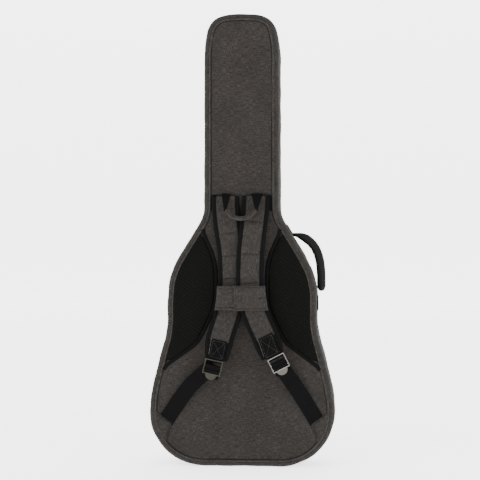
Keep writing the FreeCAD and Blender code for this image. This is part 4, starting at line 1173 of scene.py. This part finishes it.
def corner_patch(side):
    node = "corner_patch_" + side
    loop = node_loop(node, 2.5 * MM, 0.8)
    o = cushion(side + "_corner_patch", loop, flat(BACK - 0.4 * MM), -1, CANVAS, 3.4 * MM, 0.8 * MM,
        step=2.5 * MM, cols=30, relief=0.4 * MM, seed=61)
    place(o, "shell", "canvas", node)
    dense = resample(SEAM, 1.5 * MM, closed=True)
    centre = loop.mean(0)
    inset = loop + (centre - loop) * 0.13
    away = np.sqrt(((loop[:, None] - dense[None]) ** 2).sum(2).min(1))
    free = inset[away > 6 * MM]
    lines = []
    for scale, y in ((1.0, 4.1), (0.86, 4.4)):
        p = centre + (free - centre) * scale
        jump = np.linalg.norm(np.diff(p, axis=0), axis=1) > 12 * MM
        parts = np.split(p, np.where(jump)[0] + 1)
        for part in parts:
            if len(part) > 3:
                pts = raised(part, BACK - y * MM)
                lines.append((pts, facing_back(len(part))))
    place(stitches_and_painted_lines(side + "_patch_stitches", lines, BLACK_THREAD_AND_SHADE, *PATCH_STITCH), "shell", "canvas")
    # near-continuous dark line just outside the patch's free edge: painted shadow under the edge of the
    # patch
    rim = centre + (free - centre) * 1.16
    jump = np.linalg.norm(np.diff(rim, axis=0), axis=1) > 14 * MM
    edges = [(raised(q, BACK - 0.8 * MM), facing_back(len(q))) for q in np.split(rim,
        np.where(jump)[0] + 1) if len(q) > 3]
    place(stitches_and_painted_lines(side + "_patch_edge_shadow", edges, BLACK_THREAD_AND_SHADE, *PATCH_EDGE_SHADOW), "shell", "binding")


# ---------------------------------------------------------------- wrap round the straps
def wrap(left, right):
    lo, hi = box("strap_wrap")

    def edge(s, z, sign):
        i = int(np.argmin(np.abs(s.path[:, 2] - z)))
        return s.path[i, 0] + sign * (s.half[i] * abs(s.w[i, 0]) + 2.2 * MM)

    high = hi[2] - lo[2]
    middle_y = (lo[1] + hi[1]) / 2
    rows = []
    for share in np.linspace(0, 1, 26):
        z = lo[2] + high * share
        hem = 0.7 * MM * (math.exp(-((share - 0.12) / 0.02) ** 2) + math.exp(-((share - 0.88) / 0.02) ** 2))
        x0, x1 = edge(left, z, -1), edge(right, z, 1)
        middle_x = (x0 + x1) / 2
        section = oval((x1 - x0) / 2, (hi[1] - lo[1]) / 2 - 0.4 * MM, 9.0, 120)
        pts = np.stack([section[:, 0] + middle_x, section[:, 1] + middle_y, np.full(120, z)], 1)
        bulge = ripple(pts, 60 * MM, 71) * 0.7 * MM - hem
        front = pts[:, 1] < middle_y
        pts[:, 1] += np.where(front, -bulge, 0) + np.where(front, 0.8 * MM, 0)
        rows.append(pts)
    o = thicken(grid("wrap_sleeve", band(rows), STRAP_CANVAS, wrap_u=True), 1.6 * MM)
    place(o, "strap_right", "strap_canvas", "strap_wrap")
    flo, fhi = box("wrap_flap")
    xs = np.linspace(flo[0], fhi[0] - 0.3 * MM, 34)
    zs = np.linspace(flo[2], fhi[2], 26)
    points = np.zeros((26, 34, 3))
    ends = np.array([edge(right, z, 1) + 0.4 * MM for z in zs])
    points[:, :, 0] = flo[0] + (xs - xs[0])[None] / (xs[-1] - xs[0]) * (ends - flo[0])[:, None]
    points[:, :, 2] = zs[:, None] + 2.5 * MM * np.clip((xs - flo[0]) / (60 * MM), 0,
        1)[None] * (zs < zs.mean())[:, None]
    edge = np.minimum(np.minimum(zs - zs[0], zs[-1] - zs)[:, None], (xs - xs[0])[None])
    dip = 0.7 * MM * np.exp(-((edge - 5 * MM) / (1.4 * MM)) ** 2)
    front = flo[1] + 0.3 * MM
    points[:, :, 1] = front + dip + 0.35 * MM * ripple(points, 40 * MM, 72)
    near_right = np.clip((xs - (fhi[0] - 6 * MM)) / (6 * MM), 0, 1)
    points[:, :, 1] += (near_right ** 2 * 3 * MM)[None]
    flap = thicken(grid("wrap_flap_cloth", points, STRAP_CANVAS, flip=True), 1.5 * MM)
    place(flap, "flap", "strap_canvas", "wrap_flap")
    y = front + 0.5 * MM
    low, top, x = flo[2] + 4.5 * MM, fhi[2] - 4 * MM, flo[0] + 20 * MM
    lines = [straight((flo[0] + 2 * MM, y, low), (fhi[0] - 10 * MM, y, low + 2 * MM)),
        straight((flo[0] + 2 * MM, y, top), (fhi[0] - 10 * MM, y, top)),
        straight((x, y, flo[2] + 4 * MM), (x, y, top))]
    place(stitches_and_painted_lines("flap_stitches", lines, BLACK_THREAD_AND_SHADE, *WRAP_STITCH), "flap", "strap_canvas")
    y = lo[1] + 1.5 * MM
    lines = [straight((lo[0] + 8 * MM, y, z), (flo[0] - 2 * MM, y, z)) for z in (lo[2] + 0.12 * high,
        lo[2] + 0.88 * high)]
    place(stitches_and_painted_lines("wrap_stitches", lines, BLACK_THREAD_AND_SHADE, *WRAP_STITCH), "strap_right", "strap_canvas")


# ---------------------------------------------------------------- handles
def side_handle():
    node = "side_handle_grip"
    joint = JOINTS["side_handle_swing"]
    axis = np.array(joint["axis"])
    start = np.array(joint["pos_m"])
    co, _ = node_mesh(node)
    run = (co - start) @ axis
    mids = []
    chord_out = np.cross(axis, (0, 1, 0))
    if chord_out[0] < 0:
        chord_out = -chord_out
    for d in np.linspace(4 * MM, np.quantile(run, 0.97) - 5 * MM, 26):
        hits = cut([node], start + axis * d, axis)
        mids.append((hits.min(0) + hits.max(0)) / 2)
    first, last = start - chord_out * 5 * MM - axis * 3 * MM, mids[-1] + (mids[-1] - mids[-2]) * 0.9
    path = smooth(resample(np.vstack([first, mids, last]), 3 * MM), 4)
    share = np.linspace(0, 1, len(path))
    radius = 10.6 * MM * np.clip(np.interp(share, (0, 0.05, 0.12, 0.2, 0.95, 0.98, 1.0),
        (0.36, 0.5, 0.8, 1.0, 1.0, 0.95, 0.8)), 0, 1)
    t, w, n = frames(path, (0, 1, 0))
    ring = circle(36)
    rows = []
    for i in range(len(path)):
        fold = 0.35 * MM * math.sin(i * 1.1) * np.clip(-ring[:, 0] if w[i] @ chord_out > 0 else ring[:, 0],
            0, 1)
        r = radius[i] + fold * np.clip(1 - abs(share[i] - 0.35) / 0.3, 0, 1)
        rows.append(path[i] + (r * ring[:, 0])[:, None] * w[i] + (1.12 * r * ring[:, 1])[:, None] * n[i])
    for end, row in ((0, rows[0]), (-1, rows[-1])):
        middle = path[end]
        heading = t[end] * (-1 if end == 0 else 1)
        caps = [middle + (row - middle) * k + heading * h * radius[end] for k,
            h in ((0.9, 0.25), (0.65, 0.5), (0.3, 0.62), (0.02, 0.66))]
        rows = caps[::-1] + rows if end == 0 else rows + caps
    o = grid("side_handle_sleeve", np.array(rows), SLEEVE, wrap_v=True)
    place(o, "side_handle", "grip", node, fill=0.9)
    inner = -1 if w[0] @ chord_out > 0 else 1
    line = path + inner * (radius + 0.05 * MM)[:, None] * w
    place(stitches_and_painted_lines("handle_seam", [(line[4:-4], inner * w[4:-4])], BLACK_THREAD_AND_SHADE, *HANDLE_SEAM),
        "side_handle", "grip")


def wall_patch(name, node, slot_name):
    """Webbing sewn flat on the side wall where the CAD has a tab."""
    lo, hi = box(node)
    pick = (SEAM[:, 0] > 0) & (SEAM[:, 1] > lo[2] - 2 * MM) & (SEAM[:, 1] < hi[2] + 2 * MM)
    xz = (SEAM + SEAM_N * (SEAM_IN + 1.9 * MM))[pick]
    xz = xz[(xz[:, 1] > lo[2]) & (xz[:, 1] < hi[2])]
    xz = resample(xz[np.argsort(xz[:, 1])], 3 * MM)
    ys = np.linspace(lo[1], hi[1], 12)
    points = np.array([[(x, y, z) for y in ys] for x, z in xz])
    o = thicken(grid(name, points, WEBBING, flip=False), 1.6 * MM)
    place(o, "shell", slot_name, node)
    lines = []
    seg = np.gradient(xz, axis=0)
    out = np.stack([seg[:, 1], np.zeros(len(xz)), -seg[:, 0]], 1)
    out /= np.linalg.norm(out, axis=1)[:, None]
    for y in (ys[0] + 3 * MM, ys[-1] - 3 * MM):
        line = raised(xz, y)[1:-1]
        lines.append((line + out[1:-1] * 0.1 * MM, out[1:-1]))
    for k in (1, -2):
        line = np.stack([np.full(12, xz[k, 0]), np.linspace(ys[0] + 3 * MM, ys[-1] - 3 * MM, 12),
            np.full(12, xz[k, 1])], 1)
        lines.append((line + out[k] * 0.1 * MM, np.tile(out[k], (12, 1))))
    place(stitches_and_painted_lines(name + "_stitches", lines, THREAD), "shell", slot_name)


def haul_loop():
    node = "haul_loop"
    lo, hi = box(node)
    xs = np.linspace(lo[0] + 4.6 * MM, hi[0] - 4.6 * MM, 17)
    mids = []
    for x in xs:
        hits = cut([node], np.array([x, 0, 0]), (1, 0, 0))
        mids.append((hits.min(0) + hits.max(0)) / 2)
    path = smooth(resample(np.array(mids), 2.5 * MM), 2)
    share = np.linspace(-1, 1, len(path))
    r = 5.3 * MM * (1 - 0.38 * np.abs(share) ** 2.5)
    _, w, n = frames(path, (0, -1, 0))
    ring = circle(24)
    lumpy = r * (1 + 0.03 * np.sin(np.arange(len(path)) * 1.9))
    rows = path[:, None] + lumpy[:, None, None] * (ring[None, :, :1] * w[:, None] + ring[None, :, 1:] * n[:,
        None])
    place(grid("haul_loop_grip", rows, STRAP_CANVAS, wrap_v=True, caps=True), "haul_handle", "strap_canvas",
        node, fill=0.9)
    line = path + (r + 0.05 * MM)[:, None] * (n * 0.9 + np.array([0, 0, 0.3]))
    place(stitches_and_painted_lines("haul_loop_seam", [(line[2:-2], n[2:-2])], BLACK_THREAD_AND_SHADE, *HAUL_SEAM), "haul_handle",
        "strap_canvas")
    co, _ = node_mesh("haul_loop_tabs")
    tabs = []
    for sign, end in ((-1, path[0]), (1, path[-1])):
        mine = co[co[:, 0] * sign > 0]
        top = mine[mine[:, 2] > mine[:, 2].max() - 1 * MM]
        foot = mine[mine[:, 2] < mine[:, 2].max() - 12 * MM]
        y0 = (top[:, 1].min() + top[:, 1].max()) / 2
        x0, x1 = top[:, 0].min(), top[:, 0].max()
        f0, f1 = foot[:, 0].min(), foot[:, 0].max()
        rows = []
        steps = 14
        for k in range(steps + 9):
            if k <= steps:
                q = k / steps
                a, b = x0 + (f0 + 2.5 * MM - x0) * q, x1 + (f1 - 2.5 * MM - x1) * q
                y = y0 + (end[1] - 5.2 * MM - y0) * q - 1.5 * MM * math.sin(math.pi * q)
                z = top[:, 2].max() + 5.5 * MM + (end[2] - top[:, 2].max() - 5.5 * MM) * q
            else:
                ang = math.pi * (k - steps) / 9
                y = end[1] - 5.2 * MM * math.cos(ang)
                z = end[2] - 5.2 * MM * math.sin(ang)
            rows.append([(a + (b - a) * u, y, z) for u in np.linspace(0, 1, 9)])
        tabs.append(grid("tab", np.array(rows), WEBBING, flip=False))
    o = thicken(joined("haul_loop_webbing", tabs), 1.5 * MM, 0)
    place(o, "haul_handle", "webbing", "haul_loop_tabs")


# ---------------------------------------------------------------- lid pocket
def lid_pocket():
    node = "lid_pocket"
    lo, hi = box(node)
    loop = smooth(resample(face_loops(node, (0, 1, 0), 0.99)[0][:, [0, 2]], 4 * MM, closed=True), 0.8,
        closed=True)
    deep = 15 * MM
    o = cushion("lid_pocket_cloth", loop, face_y, 1, CANVAS, deep - 2 * MM, 2.0 * MM, 60 * MM, step=4 * MM,
        cols=64, relief=1.0 * MM, seed=81)
    place(o, "lid", "canvas", node)
    dist = 12 * MM
    centre = loop.mean(0)
    t = tangents(loop)
    inward = np.stack([-t[:, 1], t[:, 0]], 1)
    if ((loop + inward * dist - centre) ** 2).sum() > ((loop - centre) ** 2).sum():
        inward = -inward
    ring_line = (loop + inward * 9 * MM)[loop[:, 1] < hi[2] - 8 * MM]
    first = np.argmax(np.linalg.norm(np.diff(ring_line, axis=0), axis=1)) + 1
    ring_line = np.roll(ring_line, -first, axis=0)
    ring_line = smooth(resample(ring_line, 4 * MM), 2)
    y = face_y(ring_line[:, 1]) + 13.6 * MM
    path = np.stack([ring_line[:, 0], y, ring_line[:, 1]], 1)
    place(sweep("pocket_piping_cord", path, (0, 1, 0), oval(1.9 * MM, 1.9 * MM, 2.0, 12), CANVAS), "lid",
        "piping")
    tlo, thi = box("pocket_zip_tape")
    mid_y = (tlo[1] + thi[1]) / 2
    z = thi[2] - 0.3 * MM
    xs = np.linspace(tlo[0] + 3 * MM, thi[0] - 3 * MM, 60)
    strips = []
    offsets = np.linspace(0.8 * MM, 6.0 * MM, 5)
    for s0 in (-1, 1):
        pts = np.array([[(x, mid_y + s0 * d, z + 0.5 * MM - d * 0.12) for d in offsets] for x in xs])
        strips.append(grid("strip", pts, ZIP_TAPE, flip=s0 > 0))
    place(thicken(joined("pocket_zip_tape_cloth", strips), 0.7 * MM), "lid", "zip_tape", "pocket_zip_tape")
    verts, faces = [], []
    count = int((xs[-1] - xs[0]) / TOOTH_PITCH)
    for s0 in (-1, 1):
        for k in range(count):
            x = xs[0] + (k + (0.5 if s0 > 0 else 0.0)) * TOOTH_PITCH
            base = len(verts)
            for d, half in ((-0.5, 0.3), (0.4, 0.7), (1.6, 0.7), (2.4, 0.4)):
                for a, b in ((-half, 0.4), (-half * 0.7, 1.0), (half * 0.7, 1.0), (half, 0.4)):
                    verts.append((x + a * MM, mid_y + s0 * (d - 0.2) * MM, z + b * MM))
            for r in range(3):
                for q in range(3):
                    i = base + r * 4 + q
                    faces.append((i, i + 1, i + 5, i + 4))
    place(plain_mesh("pocket_zip_coil", verts, faces, COIL), "lid", "zip_teeth", "pocket_zip_teeth")


# ---------------------------------------------------------------- inside
def inside():
    o = softened("neck_cradle_foam", "neck_cradle", 3 * MM, 12, FLEECE)
    place(o, "shell", "cradle", "neck_cradle", fill=0.9)
    o = softened("tail_pad_foam", "tail_pad", 2.5 * MM, 8, FLEECE)
    place(o, "shell", "cradle", "tail_pad", fill=0.9)
    lo, hi = box("neck_strap")
    y, z = (lo[1] + hi[1]) / 2, (lo[2] + hi[2]) / 2
    path = np.linspace((lo[0], y, z), (hi[0], y, z), 40)
    o = sweep("neck_strap_webbing", path, (0, 1, 0), oval((hi[2] - lo[2]) / 2, 0.9 * MM, 5.0, 28), WEBBING,
        caps=True)
    place(o, "headstock_strap", "webbing", "neck_strap")


pads()
yoke()
left = strap("left", (0.565, 0.511, 0.455), 91)
right = strap("right", (0.592, 0.516, 0.445), 92)
for s in (left, right):
    webbing_parts(s)
    lower_webbing(s)
corner_patch("left")
corner_patch("right")
wrap(left, right)
side_handle()
wall_patch("handle_upper_webbing", "handle_upper_tab", "webbing")
wall_patch("handle_lower_webbing", "handle_lower_tab", "webbing")
haul_loop()
lid_pocket()
inside()
# both buckles are the same nickel; the left one's darker metal is a painted dark reflection
for node, material in (("left_buckle", NICKEL_PAINTED_DARK), ("right_buckle", NICKEL), ("zip_slider_upper", ZIP_METAL),
        ("zip_pull_upper", ZIP_METAL), ("zip_slider_lower", ZIP_METAL), ("zip_pull_lower", ZIP_METAL),
        ("pocket_slider", ZIP_METAL), ("pocket_pull", ZIP_METAL)):
    me = NODES[node].data
    me.materials.clear()
    me.materials.append(material)


# ---------------------------------------------------------------- camera, light, floor
CAMERA_LENS = 105.4
CAMERA_YAW = math.radians(4.0)
CAMERA_DISTANCE = 3.4
CAMERA_HEIGHT = 0.549
CAMERA_AIM_X = -0.0085
WORLD_LIGHT = 1.9
FLOOR_GLOW = 2.2                 # near white studio, as behind a cut-out photograph


def stage_and_light():
    world = bpy.data.worlds.new("studio")
    bpy.context.scene.world = world
    world.use_nodes = True
    world.node_tree.nodes["Background"].inputs[0].default_value = (1, 1, 1, 1)
    world.node_tree.nodes["Background"].inputs[1].default_value = WORLD_LIGHT
    m = Nodes("studio_floor", 0.9, Emission_Strength=FLOOR_GLOW)
    m.bsdf.inputs["Emission Color"].default_value = (1, 1, 1, 1)
    coord = m.add("TexCoord").outputs["Object"]
    n = m.add("TexNoise", {"Vector": coord, "Scale": 3.0}).outputs["Fac"]
    m.link(m.mix((0.93, 0.93, 0.93, 1), (0.96, 0.96, 0.96, 1), n), "Base Color")
    turn = np.linspace(-math.pi / 2, 0, 24)
    profile = [(-12.0, 0.0), (6.0, 0.0)] + [(9.0 + 3.0 * math.cos(a),
        3.0 + 3.0 * math.sin(a)) for a in turn] + [(12.0, 9.0)]
    xs = np.linspace(-14, 14, 3)
    points = np.array([[(x, y, z) for x in xs] for y, z in profile])
    floor = grid("floor", points, m.mat, flip=True)
    for name, place_at, aim, power, size in (("key", (-1.9, -2.6, 3.0), (0, 0, 0.55), 60, 1.6),
            ("fill", (2.4, -2.4, 1.6), (0, 0, 0.5), 20, 2.0),
            ("rim", (0.6, 2.4, 2.8), (0, 0, 0.7), 20, 1.6)):
        data = bpy.data.lights.new(name, "AREA")
        data.energy = power
        data.size = size
        lamp = bpy.data.objects.new(name, data)
        bpy.context.scene.collection.objects.link(lamp)
        lamp.location = place_at
        lamp.rotation_euler = (Vector(aim) - Vector(place_at)).to_track_quat("-Z", "Y").to_euler()
    cam = bpy.data.cameras.new("camera")
    cam.lens = CAMERA_LENS
    camera = bpy.data.objects.new("camera", cam)
    bpy.context.scene.collection.objects.link(camera)
    flat_distance = (CAMERA_DISTANCE * math.sin(CAMERA_YAW), BACK - CAMERA_DISTANCE * math.cos(CAMERA_YAW))
    camera.location = (*flat_distance, CAMERA_HEIGHT)
    aim = Vector((CAMERA_AIM_X, 0, CAMERA_HEIGHT)) - camera.location
    camera.rotation_euler = aim.to_track_quat("-Z", "Y").to_euler()
    bpy.context.scene.camera = camera


stage_and_light()
